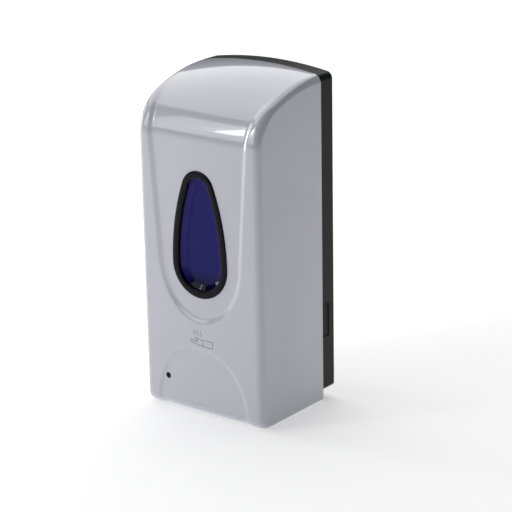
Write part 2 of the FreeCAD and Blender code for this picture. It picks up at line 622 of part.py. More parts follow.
def make_tank():
    """Soap tank with a refill collar, fixing ears and a spigot that drops into the chassis."""
    half = "tank_half"
    block = box("tank_block", (minus(half), half), ("tank_near", "tank_far"),
                ("tank_low", "tank_high"))
    doc.recompute()
    rounded = doc.addObject("Part::Fillet", "tank_rounded")
    rounded.Base = block
    radius = number("tank_round")
    upright = [index for index, edge in enumerate(block.Shape.Edges, start=1)
               if abs(edge.Vertexes[0].Z - edge.Vertexes[1].Z) > radius]
    rounded.Edges = [(index, radius, radius) for index in upright]
    ports = ("port_near - collar_wall", "port_far + collar_wall")
    collar = box("tank_collar", (minus("port_half + collar_wall"), "port_half + collar_wall"),
                 ports, ("tank_high - 1", "collar_high"))
    spigot = rod("tank_spigot", "z", "spigot_radius", ("spigot_low", "tank_low + 1"),
                 reach="pipe_reach")
    solids = [rounded, collar, spigot]
    inner = "tank_half - tank_wall"
    cavity = box("tank_cavity", (minus(inner), inner),
                 ("tank_near + tank_wall", "tank_far - tank_wall"),
                 ("tank_low + tank_wall", "tank_high - tank_wall"))
    port = box("tank_port", (minus("port_half"), "port_half"), ("port_near", "port_far"),
               ("tank_high - 5", "collar_high + 1"))
    bore = rod("tank_bore", "z", "spigot_bore", ("spigot_low - 1", "tank_low + 3"),
               reach="pipe_reach")
    holes = [cavity, port, bore]
    for name, side in SIDES:
        solids.append(box("tank_ear_" + name, span_x("ear_in", "ear_out", side),
                          ("tank_near", "ear_far"), ("tank_high - 8", "ear_high")))
        holes.append(rod("tank_ear_hole_" + name, "y", "screw_pass",
                         ("tank_near - 1", "ear_far + 1"), x=mirrored_x("tank_boss_x", side),
                         up="tank_boss_up"))
        ear_x = span_x("lid_ear_in", "lid_ear_out", side)
        solids.append(box("lid_ear_base_" + name, ear_x,
                          ("lid_hinge_reach - lid_knuckle", "lid_hinge_reach + lid_knuckle"),
                          ("tank_high - 1", "lid_hinge_up")))
        solids.append(rod("lid_ear_" + name, "x", "lid_knuckle", ear_x,
                          reach="lid_hinge_reach", up="lid_hinge_up"))
        holes.append(rod("lid_ear_hole_" + name, "x", "lid_pin",
                         span_x("lid_ear_in - 1", "lid_ear_out + 1", side),
                         reach="lid_hinge_reach", up="lid_hinge_up"))
    keep("tank", cut("tank", joined("tank_solids", *solids), *holes))


def make_refill_lid():
    side = "lid_half"
    plate = box("lid_plate", (minus(side), side), ("lid_near", "lid_far"),
                ("lid_low", "lid_low + lid_thick"))
    tongue = "lid_knuckle_half"
    neck = box("lid_neck", (minus(tongue), tongue), ("lid_hinge_reach", "lid_near + 1"),
               ("lid_low", "lid_low + lid_thick"))
    knuckle = rod("lid_knuckle", "x", "lid_knuckle", (minus(tongue), tongue),
                  reach="lid_hinge_reach", up="lid_hinge_up")
    grip = box("lid_grip", (minus("grip_half"), "grip_half"), ("lid_far - 1", "lid_far + 2"),
               ("lid_low", "lid_low + lid_thick"))
    corner = "lid_knuckle_half"
    relief = []
    for name, sign in SIDES:
        relief.append(box("lid_relief_" + name, span_x(corner, "lid_ear_out + 0.6", sign),
                          ("lid_near - 1", "lid_hinge_reach + lid_knuckle + 0.6"),
                          ("lid_low - 1", "lid_low + lid_thick + 1")))
    bore = rod("lid_bore", "x", "lid_pin + running", ("-30", "30"), reach="lid_hinge_reach",
               up="lid_hinge_up")
    keep("refill_lid", cut("refill_lid", joined("lid_solids", plate, neck, knuckle, grip),
                           bore, *relief))
    keep("lid_pin", rod("lid_pin", "x", "lid_pin", (minus("lid_ear_out"), "lid_ear_out"),
                        reach="lid_hinge_reach", up="lid_hinge_up"))
    wide = "port_half + collar_wall - 0.3"
    ring = box("seal_ring", (minus(wide), wide), ("port_near - 1.7", "port_far + 1.7"),
               ("collar_high", "lid_low"))
    gap = box("seal_gap", (minus("port_half"), "port_half"), ("port_near", "port_far"),
              ("collar_high - 1", "lid_low + 1"))
    keep("lid_seal", cut("lid_seal", ring, gap))


def make_tank_fittings():
    """Seal round the spigot, strainer over it and the two screws of the tank."""
    ring = rod("outlet_ring", "z", "spigot_flange", ("tank_low - seal_thick", "tank_low"),
               reach="pipe_reach")
    gap = rod("outlet_gap", "z", "spigot_radius + fit", ("tank_low - 3", "tank_low + 1"),
              reach="pipe_reach")
    keep("outlet_seal", cut("outlet_seal", ring, gap))
    floor = "tank_low + tank_wall"
    cup = rod("strainer_cup", "z", "strainer_radius", (floor, "strainer_high"),
              reach="pipe_reach")
    hollow = rod("strainer_hollow", "z", "strainer_radius - strainer_wall",
                 ("tank_low", "strainer_high - strainer_wall"), reach="pipe_reach")
    slots = []
    for index, turn in enumerate((0, 60, 120)):
        slot = box("strainer_slot_%d" % index,
                   (minus("strainer_radius + 1"), "strainer_radius + 1"),
                   (minus("strainer_slot"), "strainer_slot"),
                   (floor + " + 1", "strainer_high - strainer_wall - 1"))
        wheel = doc.addObject("Part::Compound", "strainer_turn_%d" % index)
        wheel.Links = [slot]
        wheel.Placement = Placement(Vector(0, 0, 0), Rotation(Vector(0, 0, 1), turn))
        bind(wheel, "Placement.Base.y", minus("pipe_reach"))
        slots.append(wheel)
    keep("outlet_strainer", cut("outlet_strainer", cup, hollow, *slots))
    screws = [screw("tank_screw_" + name, mirrored_x("tank_boss_x", side), "tank_boss_up",
                    "ear_far", "tank_screw") for name, side in SIDES]
    keep("tank_screws", group("tank_screws", *screws))


# ---------------------------------------------------------------- chassis

PANEL_SCREWS = (
    (minus("panel_screw_x"), "panel_screw_low"),
    (minus("panel_screw_x"), "panel_screw_high"),
    ("panel_screw_x", "panel_screw_high"),
)


def make_chassis():
    """Bracket on the wall plate: rear web, floor, cheeks, tank shelf and screw posts."""
    half = "chassis_half"
    inner = "(chassis_half - sheet_wall)"
    deep = ("web_near", "chassis_far")
    shelf_low = "tank_low - seal_thick - sheet_wall"
    shelf_high = "tank_low - seal_thick"
    solids = [
        box("chassis_web", (minus(half), half), ("web_near", "web_far"),
            ("chassis_low", shelf_high)),
        box("chassis_floor", (minus(half), half), deep,
            ("chassis_low", "chassis_low + sheet_wall")),
        box("chassis_shelf", (minus(half), half), deep, (shelf_low, shelf_high)),
    ]
    for name, side in SIDES:
        solids.append(box("cheek_" + name, span_x(inner, half, side), deep,
                          ("chassis_low", shelf_high)))
    for index, x in enumerate(("pump_x + pump_half - foot_rib", "pump_x - pump_half")):
        solids.append(box("pump_foot_%d" % index, (minus(x + " + foot_rib"), minus(x)),
                          ("pump_near", "foot_rib_far"),
                          ("chassis_low + sheet_wall - 1", "pump_up - pump_half - 2")))
    solids.append(box("bay_wall", ("battery_x - bay_half - 1.5", "battery_x - bay_half"),
                      ("web_far - 1", "chassis_far"), ("chassis_low + 1", "bay_high + 3")))
    solids.append(box("bay_roof", ("battery_x - bay_half - 1.5", half), ("web_far - 1", "chassis_far"),
                      ("bay_high + 1", "bay_high + 3")))
    solids.append(box("bay_floor", ("battery_x - bay_half - 1", half), ("web_far - 1", "chassis_far"),
                      ("chassis_low + 1", "bay_low")))
    holes = [
        rod("shelf_hole", "z", "spigot_radius + 0.5", ("tank_low - 8", "tank_low + 1"),
            reach="pipe_reach"),
        rod("nozzle_hole", "z", "nozzle_radius + running", ("0", "chassis_low + 4"),
            reach="pipe_reach"),
        box("sensor_hole", (minus("sensor_half - 2"), "sensor_half - 2"),
            ("sensor_near + 1", "sensor_far - 1"), ("0", "chassis_low + 4")),
    ]
    for index, (x, up) in enumerate(four("boss_across", "boss_low", "boss_high")):
        holes.append(rod("web_hole_%d" % index, "y", "screw_pass",
                         ("web_near - 1", "web_far + 1"), x=x, up=up))
    for index, (x, up) in enumerate(PANEL_SCREWS):
        solids.append(box("panel_post_%d" % index, (x + " - 2.5", x + " + 2.5"),
                          ("post_near", "chassis_far"), (up + " - 2.5", up + " + 2.5")))
        holes.append(rod("post_hole_%d" % index, "y", "screw_hole",
                         ("chassis_far - 9", "chassis_far + 1"), x=x, up=up))
    keep("chassis", cut("chassis", joined("chassis_solids", *solids), *holes))
    screws = [screw("chassis_screw_%d" % index, x, up, "web_far", "chassis_screw")
              for index, (x, up) in enumerate(four("boss_across", "boss_low", "boss_high"))]
    keep("chassis_screws", group("chassis_screws", *screws))


def make_service_panel():
    """Front of the chassis, with the rails of the battery door and the two controls."""
    half = "chassis_half"
    solids = [box("panel_plate", (minus(half), half), ("chassis_far", "panel_far"),
                  ("chassis_low", "tank_low - seal_thick"))]
    rails = "(door_half + rail_gap)"
    for name, side in SIDES:
        wall_x = ["battery_x + %s" % mirrored_x(edge, side)
                  for edge in (rails, rails + " + rail_wall")]
        flange_x = ["battery_x + %s" % mirrored_x(edge, side)
                    for edge in (rails + " - 1.6", rails + " + rail_wall")]
        order = slice(None, None, side)
        solids.append(box("rail_wall_" + name, wall_x[order], ("panel_far", "rail_far"),
                          ("rail_low", "rail_high")))
        solids.append(box("rail_flange_" + name, flange_x[order], ("door_far + rail_gap", "rail_far"),
                          ("rail_low", "rail_high")))
    holes = [
        box("bay_opening", ("battery_x - bay_half + 2", "battery_x + bay_half - 2"),
            ("chassis_far - 1", "panel_far + 0.01"), ("bay_low + 1", "bay_high - 0.5")),
        box("switch_slot", ("switch_x - slide_half - slide_travel / 2 - 0.3",
                            "switch_x + slide_half + slide_travel / 2 + 0.3"),
            ("chassis_far - 1", "panel_far + 1"), ("switch_up - 1.3", "switch_up + 1.3")),
        rod("dial_hole", "y", "shaft_radius + 0.3", ("chassis_far - 1", "panel_far + 1"),
            x=minus("dial_x"), up="dial_up"),
        rod("lamp_hole", "y", "lamp_radius + running", ("chassis_far - 1", "panel_far + 1"),
            x=minus("light_across"), up="light_up"),
    ]
    for index, (x, up) in enumerate(PANEL_SCREWS):
        holes.append(rod("panel_hole_%d" % index, "y", "screw_pass",
                         ("chassis_far - 1", "panel_far + 1"), x=x, up=up))
    keep("service_panel", cut("service_panel", joined("panel_solids", *solids), *holes))
    screws = [screw("panel_screw_%d" % index, x, up, "panel_far", "panel_screw")
              for index, (x, up) in enumerate(PANEL_SCREWS)]
    keep("panel_screws", group("panel_screws", *screws))


# ---------------------------------------------------------------- batteries

def make_batteries():
    """Four cells side by side in two rows, their end contacts and the sliding door."""
    cells = []
    contacts = []
    for row in range(2):
        up = "cell_low + %d * cell_pitch" % row
        for column in range(2):
            x = "battery_x + (%s) * cell_pitch" % (column - 0.5)
            tag = "%d%d" % (row, column)
            can = rod("cell_can_" + tag, "y", "cell_radius", ("cell_near", "cell_far"), x=x, up=up)
            cap = rod("cell_cap_" + tag, "y", "button_radius",
                      ("cell_far", "cell_far + button_rise"), x=x, up=up)
            cells.append(joined("cell_" + tag, can, cap))
    keep("batteries", group("batteries", *cells))
    reach = {"rear": ("cell_near - contact_thick", "cell_near"),
             "front": ("cell_far + button_rise", "cell_far + button_rise + contact_thick")}
    for place, span in reach.items():
        for column in range(2):
            x = "battery_x + (%s) * cell_pitch" % (column - 0.5)
            pad_across = (x + " - contact_half", x + " + contact_half")
            arm_across = (x + " - arm_half", x + " + arm_half")
            contacts.append(box("contact_%s_%d" % (place, column), pad_across, span,
                                ("cell_low - contact_end", "cell_low + cell_pitch + contact_end")))
            tail = {"rear": ("web_far", "cell_near - contact_thick"),
                    "front": ("cell_far + button_rise + contact_thick", "chassis_far")}[place]
            contacts.append(box("contact_stem_%s_%d" % (place, column), arm_across,
                                tail, ("bay_high - arm_drop - arm_half", "bay_high - arm_drop")))
            contacts.append(box("contact_arm_%s_%d" % (place, column), arm_across,
                                span, ("cell_low + cell_pitch + 4", "bay_high - arm_drop")))
    keep("battery_contacts", joined("battery_contacts", *contacts))
    door = box("door_plate", ("battery_x - door_half", "battery_x + door_half"),
               ("door_near", "door_far"), ("door_low", "door_high"))
    ribs = [box("door_rib_%d" % index, ("battery_x - rib_half", "battery_x + rib_half"),
                ("door_far", "door_far + rib_rise"),
                ("door_high - rib_drop - 1 - rib_pitch * %d" % index,
                 "door_high - rib_drop - rib_pitch * %d" % index))
            for index in range(4)]
    keep("battery_door", joined("battery_door", door, *ribs))


# ---------------------------------------------------------------- pump

PUMP_X = minus("pump_x")


def make_pump_body():
    """Housing with the half round track, its lid and the four long screws."""
    half = "pump_half"
    reach = ("pump_near", "pump_far")
    block = box("pump_block", (minus("pump_x + " + half), minus("pump_x - " + half)), reach,
                ("pump_up - " + half, "pump_up + " + half))
    solids = [block]
    floor_reach = ("pump_near + pump_floor", "pump_far + 1")
    holes = [
        rod("track", "y", "track_radius", floor_reach, x=PUMP_X, up="pump_up"),
        box("track_mouth", (PUMP_X, minus("pump_x - pump_half - 1")), floor_reach,
            ("pump_up - track_radius", "pump_up + track_radius")),
        rod("shaft_bearing", "y", "shaft_radius + running", ("pump_near - 1", "pump_far"),
            x=PUMP_X, up="pump_up"),
    ]
    screws = []
    for index, sign_x in enumerate((-1, 1)):
        x = "%s + (%d) * pump_screw_x" % (PUMP_X, sign_x)
        for level, sign_up in enumerate((-1, 1)):
            up = "pump_up + (%d) * pump_screw_up" % sign_up
            tag = "%d%d" % (index, level)
            solids.append(rod("pillar_" + tag, "y", "pillar_radius",
                              ("gear_plate_far", "pump_near + 1"), x=x, up=up))
            solids.append(rod("screw_boss_" + tag, "y", "pillar_radius",
                              ("pump_near", "pump_far"), x=x, up=up))
            holes.append(rod("pillar_hole_" + tag, "y", "screw_hole",
                             ("gear_plate_far - 1", "pump_far + 1"), x=x, up=up))
            screws.append(screw("pump_screw_" + tag, x, up, "pump_lid_far", "pump_screw"))
    keep("pump_housing", cut("pump_housing", joined("pump_solids", *solids), *holes))
    keep("pump_screws", group("pump_screws", *screws))
    lid = box("pump_lid_plate", (minus("pump_x + " + half), minus("pump_x - " + half)),
              ("pump_far", "pump_lid_far"), ("pump_up - pump_lid_half", "pump_up + pump_lid_half"))
    lid_holes = [rod("pump_lid_bearing", "y", "shaft_radius + running",
                     ("pump_far - 1", "pump_lid_far + 1"), x=PUMP_X, up="pump_up")]
    for index, sign_x in enumerate((-1, 1)):
        x = "%s + (%d) * pump_screw_x" % (PUMP_X, sign_x)
        for level, sign_up in enumerate((-1, 1)):
            up = "pump_up + (%d) * pump_screw_up" % sign_up
            lid_holes.append(rod("pump_lid_hole_%d%d" % (index, level), "y", "screw_pass",
                                 ("pump_far - 1", "pump_lid_far + 1"), x=x, up=up))
    keep("pump_lid", cut("pump_lid", lid, *lid_holes))


def make_pump_tube():
    """Soft tube pressed flat against the track, with both ends leaving to the right."""
    exit_x = minus("pump_x - pump_half")
    outer = "tube_outer"
    inner = "tube_inner"
    start = (exit_x, "pump_up + " + outer)
    steps = [
        ("line", PUMP_X, "pump_up + " + outer),
        ("arc", PUMP_X, "pump_up - " + outer, PUMP_X, "pump_up", 1),
        ("line", exit_x, "pump_up - " + outer),
        ("line", exit_x, "pump_up - " + inner),
        ("line", PUMP_X, "pump_up - " + inner),
        ("arc", PUMP_X, "pump_up + " + inner, PUMP_X, "pump_up", -1),
        ("line", exit_x, "pump_up + " + inner),
        ("line", exit_x, "pump_up + " + outer),
    ]
    keep("pump_tube", slab("pump_tube", ("tube_near", "tube_far"), start, steps))


def make_rotor():
    """Shaft with two flanges, and three rollers that turn on pins between them."""
    shaft = rod("rotor_shaft", "y", "shaft_radius", ("rotor_gear_near", "pump_lid_far - 0.3"),
                x=PUMP_X, up="pump_up")
    rear = rod("rotor_rear", "y", "flange_radius", ("flange_near", "flange_near + flange_thick"),
               x=PUMP_X, up="pump_up")
    front = rod("rotor_front", "y", "flange_radius", ("flange_far - flange_thick", "flange_far"),
                x=PUMP_X, up="pump_up")
    hub = rod("rotor_hub", "y", "shaft_radius + 2.4", ("flange_near", "flange_far"),
              x=PUMP_X, up="pump_up")
    holes = []
    pins = []
    for index in range(3):
        turn = 90 + 120 * index
        x = "%s + roller_orbit * %.6f" % (PUMP_X, math.cos(math.radians(turn)))
        up = "pump_up + roller_orbit * %.6f" % math.sin(math.radians(turn))
        span = ("flange_near + flange_thick + roller_gap", "flange_far - flange_thick - roller_gap")
        solid = rod("roller_solid_%d" % index, "y", "roller_radius", span, x=x, up=up)
        bore = rod("roller_bore_%d" % index, "y", "roller_pin + running",
                   ("flange_near", "flange_far"), x=x, up=up)
        keep("roller_%d" % (index + 1), cut("roller_%d" % (index + 1), solid, bore))
        holes.append(rod("rotor_pin_hole_%d" % index, "y", "roller_pin",
                         ("flange_near - 1", "flange_far + 1"), x=x, up=up))
        pins.append(rod("roller_pin_%d" % index, "y", "roller_pin", ("flange_near", "flange_far"),
                        x=x, up=up))
    keep("pump_rotor", cut("pump_rotor", joined("rotor_solids", shaft, rear, front, hub), *holes))
    keep("roller_pins", group("roller_pins", *pins))


# ---------------------------------------------------------------- gear train and motor

IDLER_UP = "(pump_up + module * (small_teeth + large_teeth) / 2 + centre_play)"


def gear_blank(teeth, span, turn, up):
    """Involute gear along the reach, a tooth turned to the given angle from +X."""
    wire = fcgear.FCWireBuilder()
    involute.CreateExternalGear(wire, number("module"), int(number(teeth)),
                                number("pressure_angle"), False,
                                addCoeff=number("addendum"), dedCoeff=number("dedendum"))
    outline = Part.Wire([item.toShape() for item in wire.wire])
    solid = Part.Face(outline).extrude(Vector(0, 0, number("(%s) - (%s)" % (span[1], span[0]))))
    solid.rotate(Vector(), Vector(0, 0, 1), turn)
    solid.rotate(Vector(), Vector(1, 0, 0), 90)
    solid.translate(Vector(number(PUMP_X), -number(span[0]), number(up)))
    return solid


def along_reach(radius, span, up):
    """Plain cylinder along the reach on the pump's middle line."""
    return Part.makeCylinder(number(radius), number("(%s) - (%s)" % (span[1], span[0])),
                             Vector(number(PUMP_X), -number(span[0]), number(up)),
                             Vector(0, -1, 0))


def keep_shape(node, shape):
    """Sub-part whose outline no sketch or primitive draws, such as a gear."""
    item = doc.addObject("Part::Feature", node)
    item.Shape = shape.removeSplitter()
    bind(item, "Placement.Base.z", "-mount_height")
    item.Label = node
    kept.append(item)


def make_gear_train():
    """Motor pinion, two stage gear above it and the gear on the pump's shaft."""
    half_small = 180 / number("small_teeth")
    half_large = 180 / number("large_teeth")
    pinion = gear_blank("small_teeth", ("train_near", "train_mid - stage_gap"), 90, "pump_up")
    bore = along_reach("motor_shaft", ("train_near - 1", "train_far"), "pump_up")
    keep_shape("motor_pinion", pinion.cut(bore))
    large = gear_blank("large_teeth", ("train_near", "train_mid - stage_gap"), -90 + half_large, IDLER_UP)
    small = gear_blank("small_teeth", ("train_mid - stage_gap", "train_far"), -90 + half_small, IDLER_UP)
    pin_bore = along_reach("idler_pin + running", ("train_near - 1", "train_far + 1"), IDLER_UP)
    keep_shape("reduction_gear", large.fuse(small).cut(pin_bore))
    driven = gear_blank("large_teeth", ("rotor_gear_near", "train_far"), 90, "pump_up")
    shaft_bore = along_reach("shaft_radius", ("rotor_gear_near - 1", "train_far + 1"), "pump_up")
    keep_shape("rotor_gear", driven.cut(shaft_bore))
    keep("reduction_pin", rod("reduction_pin", "y", "idler_pin", ("gear_plate_near", "pump_near"),
                              x=PUMP_X, up=IDLER_UP))


def make_motor():
    """Gear plate, motor can with its flats and nose, and the motor's shaft."""
    half = "gear_plate_half"
    plate = box("gear_plate_block", (minus("pump_x + " + half), minus("pump_x - " + half)),
                ("gear_plate_near", "gear_plate_far"),
                ("chassis_low + sheet_wall", "gear_plate_high"))
    holes = [
        rod("gear_plate_boss", "y", "motor_boss", ("gear_plate_near - 1", "gear_plate_far + 1"),
            x=PUMP_X, up="pump_up"),
        rod("gear_plate_pin", "y", "idler_pin", ("gear_plate_near - 1", "gear_plate_far + 1"),
            x=PUMP_X, up=IDLER_UP),
    ]
    keep("gear_plate", cut("gear_plate", plate, *holes))
    reach = ("motor_near", "gear_plate_near")
    can = rod("motor_can", "y", "motor_radius", reach, x=PUMP_X, up="pump_up")
    flats = box("motor_flats", (minus("pump_x + motor_radius"), minus("pump_x - motor_radius")),
                reach, ("pump_up - motor_flat / 2", "pump_up + motor_flat / 2"))
    boss = rod("motor_nose", "y", "motor_boss", ("gear_plate_near - 1", "gear_plate_far"),
               x=PUMP_X, up="pump_up")
    keep("pump_motor", joined("pump_motor", common("motor_body", can, flats), boss))
    keep("motor_shaft", rod("motor_shaft", "y", "motor_shaft", ("gear_plate_far", "train_mid - stage_gap"),
                            x=PUMP_X, up="pump_up"))


# ---------------------------------------------------------------- soap path

def make_pipe(node, exit_up, bend_way, end_up):
    """Tube from the pump head to the middle of the casing, turned up or down by one bend."""
    start_x = minus("pump_x - pump_half")
    owner = body(node)
    middle_up = "%s + (%d) * pipe_bend" % (exit_up, bend_way)
    spine = sketch_on(owner, node + "_run", "XZ_Plane", "pipe_reach")
    steps = [
        ("line", minus("pipe_bend"), exit_up),
        ("arc", "0", middle_up, minus("pipe_bend"), middle_up, bend_way),
        ("line", "0", end_up),
    ]
    draw(spine, (start_x, exit_up), steps, closed=False)
    for kind, radius in (("PartDesign::AdditivePipe", "pipe_radius"),
                         ("PartDesign::SubtractivePipe", "pipe_bore")):
        ring = sketch_on(owner, "%s_%s" % (node, radius), "YZ_Plane", start_x)
        centre = Vector(-number("pipe_reach"), number(exit_up), 0)
        circle = ring.addGeometry(Part.Circle(centre, Vector(0, 0, 1), number(radius)), False)
        fix(ring, "DistanceX", circle, 3, minus("pipe_reach"))
        fix(ring, "DistanceY", circle, 3, exit_up)
        size = ring.addConstraint(Sketcher.Constraint("Radius", circle, number(radius)))
        bind(ring, "Constraints[%d]" % size, radius)
        pipe = owner.newObject(kind, "%s_%s_sweep" % (node, radius))
        pipe.Profile = ring
        pipe.Spine = (spine, ["Edge1", "Edge2", "Edge3"])
    keep(node, owner)


def make_soap_path():
    """Tubes from tank to pump and pump to nozzle, the nozzle and its soft tip."""
    middle = "((tube_outer + tube_inner) / 2)"
    make_pipe("inlet_tube", "pump_up + " + middle, 1, "spigot_low")
    make_pipe("outlet_tube", "pump_up - " + middle, -1, "nozzle_high")
    barrel = rod("nozzle_barrel", "z", "nozzle_radius", ("nozzle_low", "nozzle_high"),
                 reach="pipe_reach")
    flange = rod("nozzle_flange", "z", "nozzle_flange",
                 ("chassis_low + sheet_wall", "chassis_low + sheet_wall + nozzle_rim"),
                 reach="pipe_reach")
    bore = rod("nozzle_bore", "z", "pipe_bore", ("0", "nozzle_high + 1"), reach="pipe_reach")
    keep("nozzle", cut("nozzle", joined("nozzle_solid", barrel, flange), bore))
    tip = rod("tip_solid", "z", "tip_radius", ("tip_low", "nozzle_low"), reach="pipe_reach")
    tip_bore = rod("tip_bore", "z", "pipe_bore", ("tip_low + 1", "nozzle_low + 1"),
                   reach="pipe_reach")
    slit = box("tip_slit", (minus("slit_half"), "slit_half"),
               ("pipe_reach - slit_thin", "pipe_reach + slit_thin"),
               ("tip_low - 1", "tip_low + 2"))
    keep("nozzle_tip", cut("nozzle_tip", tip, tip_bore, slit))


# ---------------------------------------------------------------- sensor and electronics

def make_sensor():
    """Dark window in the floor, with an infra red lamp and a receiver on a board above it."""
    half = "sensor_half"
    keep("sensor_window", joined(
        "sensor_window",
        box("sensor_flange", (minus(half), half), ("sensor_near", "sensor_far"),
            ("chassis_low + sheet_wall", "chassis_low + sheet_wall + 1")),
        box("sensor_pane", (minus("sensor_half - pane_side"), "sensor_half - pane_side"),
            ("sensor_near + pane_end", "sensor_far - pane_end"),
            ("sensor_low", "chassis_low + sheet_wall"))))
    keep("sensor_board", box("sensor_board", (minus(half), half), ("sensor_near", "chassis_far"),
                             ("sensor_board", "sensor_board + board_thick")))
    for node, x in (("ir_emitter", minus("emitter_x")), ("ir_receiver", "emitter_x")):
        middle = "(sensor_near + sensor_far) / 2"
        base = "chassis_low + sheet_wall + 1"
        dome = doc.addObject("Part::Sphere", node + "_dome")
        bind(dome, "Radius", "emitter_radius")
        bind(dome, "Placement.Base.x", x)
        bind(dome, "Placement.Base.y", minus(middle))
        bind(dome, "Placement.Base.z", base + " + emitter_gap + emitter_radius")
        rim = rod(node + "_rim", "z", "emitter_radius + emitter_rim", ("sensor_board - 1", "sensor_board"),
                  x=x, reach=middle)
        shank = rod(node + "_shank", "z", "emitter_radius",
                    (base + " + emitter_gap + emitter_radius", "sensor_board"), x=x, reach=middle)
        keep(node, joined(node, dome, shank, rim))


def make_electronics():
    """Control board on two spacers, with its larger components in one group."""
    far = "board_near + board_thick"
    board = box("board_plate", ("board_left", "board_right"), ("board_near", far),
                ("board_low", "board_high"))
    notch = rod("board_notch", "y", "head_radius + 1", ("web_far - 1", far + " + 1"),
                x="boss_across", up="boss_high")
    holes = []
    spacers = []
    screws = []
    for index, (x, up) in enumerate((("board_left + board_inset", "board_low + board_inset"),
                                     ("board_right - 12", "board_high - board_inset"))):
        spacer = rod("spacer_%d" % index, "y", "spacer_radius", ("web_far", "board_near"),
                     x=x, up=up)
        bore = rod("spacer_bore_%d" % index, "y", "screw_hole", ("web_far", "board_near + 1"),
                   x=x, up=up)
        spacers.append(cut("spacer_cut_%d" % index, spacer, bore))
        holes.append(rod("board_hole_%d" % index, "y", "screw_pass", ("board_near - 1", far + " + 1"),
                         x=x, up=up))
        screws.append(screw("board_screw_%d" % index, x, up, far, "board_screw"))
    keep("control_board", cut("control_board", board, notch, *holes))
    keep("board_spacers", group("board_spacers", *spacers))
    keep("board_screws", group("board_screws", *screws))
    chip = box("chip", ("board_left + 12", "board_left + 22"), (far, far + " + 1.8"),
               ("board_low + 12", "board_low + 22"))
    driver = box("driver", ("board_left + 26", "board_left + 31"), (far, far + " + 1.6"),
                 ("board_low + 8", "board_low + 14"))
    crystal = box("crystal", ("board_left + 12", "board_left + 20"), (far, far + " + 3"),
                  ("board_low + 25", "board_low + 28"))
    plug = box("plug_socket", ("board_left + 24", "board_left + 34"), (far, far + " + 6"),
               ("board_low + 18", "board_low + 23"))
    keep("board_components", group("board_components", chip, driver, crystal, plug))
    for index in range(2):
        node = "capacitor_%d" % (index + 1)
        keep(node, rod(node, "y", "capacitor_radius", (far, far + " + capacitor_long"),
                       x="board_left + 6", up="board_high - 6 - capacitor_pitch * %d" % index))


def make_controls():
    """Power slide switch, dose dial and status lamp on the service panel."""
    half = "switch_half"
    keep("switch_body", cut(
        "switch_body",
        box("switch_block", ("switch_x - " + half, "switch_x + " + half),
            ("switch_deep", "chassis_far"), ("switch_up - switch_rise", "switch_up + switch_rise")),
        box("switch_well", ("switch_x - well_half", "switch_x + well_half"),
            ("chassis_far - well_deep", "chassis_far + 1"),
            ("switch_up - well_rise", "switch_up + well_rise"))))
    left = "switch_x - slide_travel / 2"
    keep("power_slide", joined(
        "power_slide",
        box("slide_stem", (left + " - slide_half", left + " + slide_half"),
            ("chassis_far - stem_deep", "slide_far"),
            ("switch_up - stem_rise", "switch_up + stem_rise")),
        box("slide_cap", (left + " - slide_half - cap_rim", left + " + slide_half + cap_rim"),
            ("panel_far + cap_gap", "slide_far"), ("switch_up - cap_rise", "switch_up + cap_rise"))))
    x = minus("dial_x")
    up = "dial_up"
    keep("dial_body", cut(
        "dial_body",
        rod("dial_can", "y", "dial_body", ("dial_deep", "chassis_far"), x=x, up=up),
        rod("dial_bore", "y", "shaft_radius + running", ("dial_deep + 1", "chassis_far + 1"),
            x=x, up=up)))
    stem = rod("dial_stem", "y", "shaft_radius", ("dial_deep + 1.1", "dial_near + 1"), x=x, up=up)
    knob = rod("dial_knob", "y", "dial_radius", ("dial_near", "dial_far"), x=x, up=up)
    pointer = box("dial_pointer", (x + " - pointer_half", x + " + pointer_half"),
                  ("dial_far - pointer_deep", "dial_far + 1"),
                  (up + " + 1", up + " + dial_radius + 1"))
    keep("dose_dial", cut("dose_dial", joined("dial_solids", stem, knob), pointer))
    lamp_x = minus("light_across")
    bulb = rod("lamp_bulb", "y", "lamp_radius", ("chassis_far - 1", "lamp_far"),
               x=lamp_x, up="light_up")
    rim = rod("lamp_rim", "y", "lamp_radius + 0.5", ("chassis_far - 1.1", "chassis_far"),
              x=lamp_x, up="light_up")
    keep("status_lamp", joined("status_lamp", bulb, rim))


# ---------------------------------------------------------------- build and write

def check(item):
    """Stop if an object could not be computed."""
    faults = {"Invalid", "Error"}.intersection(item.State)
    if faults:
        raise RuntimeError("%s is %s" % (item.Label, ", ".join(sorted(faults))))


def main():
    """Build every sub-part, check it and write it as a STEP file."""
    make_rear_plate()
    make_front_cover()
    make_window()
    make_hinge_and_latches()
    make_tank()
    make_refill_lid()
    make_tank_fittings()
    make_chassis()
    make_service_panel()
    make_batteries()
    make_pump_body()
    make_pump_tube()
    make_rotor()
    make_gear_train()
    make_motor()
    make_soap_path()
    make_sensor()
    make_electronics()
    make_controls()
    doc.recompute()
    for item in doc.Objects:
        check(item)
    os.makedirs("parts", exist_ok=True)
    for item in kept:
        if item.Shape.isNull() or not item.Shape.isValid():
            raise RuntimeError("%s has no valid shape" % item.Label)
        item.Shape.exportStep("parts/%s.step" % item.Label)
        print("%-20s %8.1f mm3, %d solids" % (item.Label, item.Shape.Volume,
                                              len(item.Shape.Solids)))


main()
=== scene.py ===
import json
import math

import bmesh
import bpy
from bpy.props import FloatProperty, FloatVectorProperty, IntProperty, PointerProperty
from mathutils import Matrix, Vector


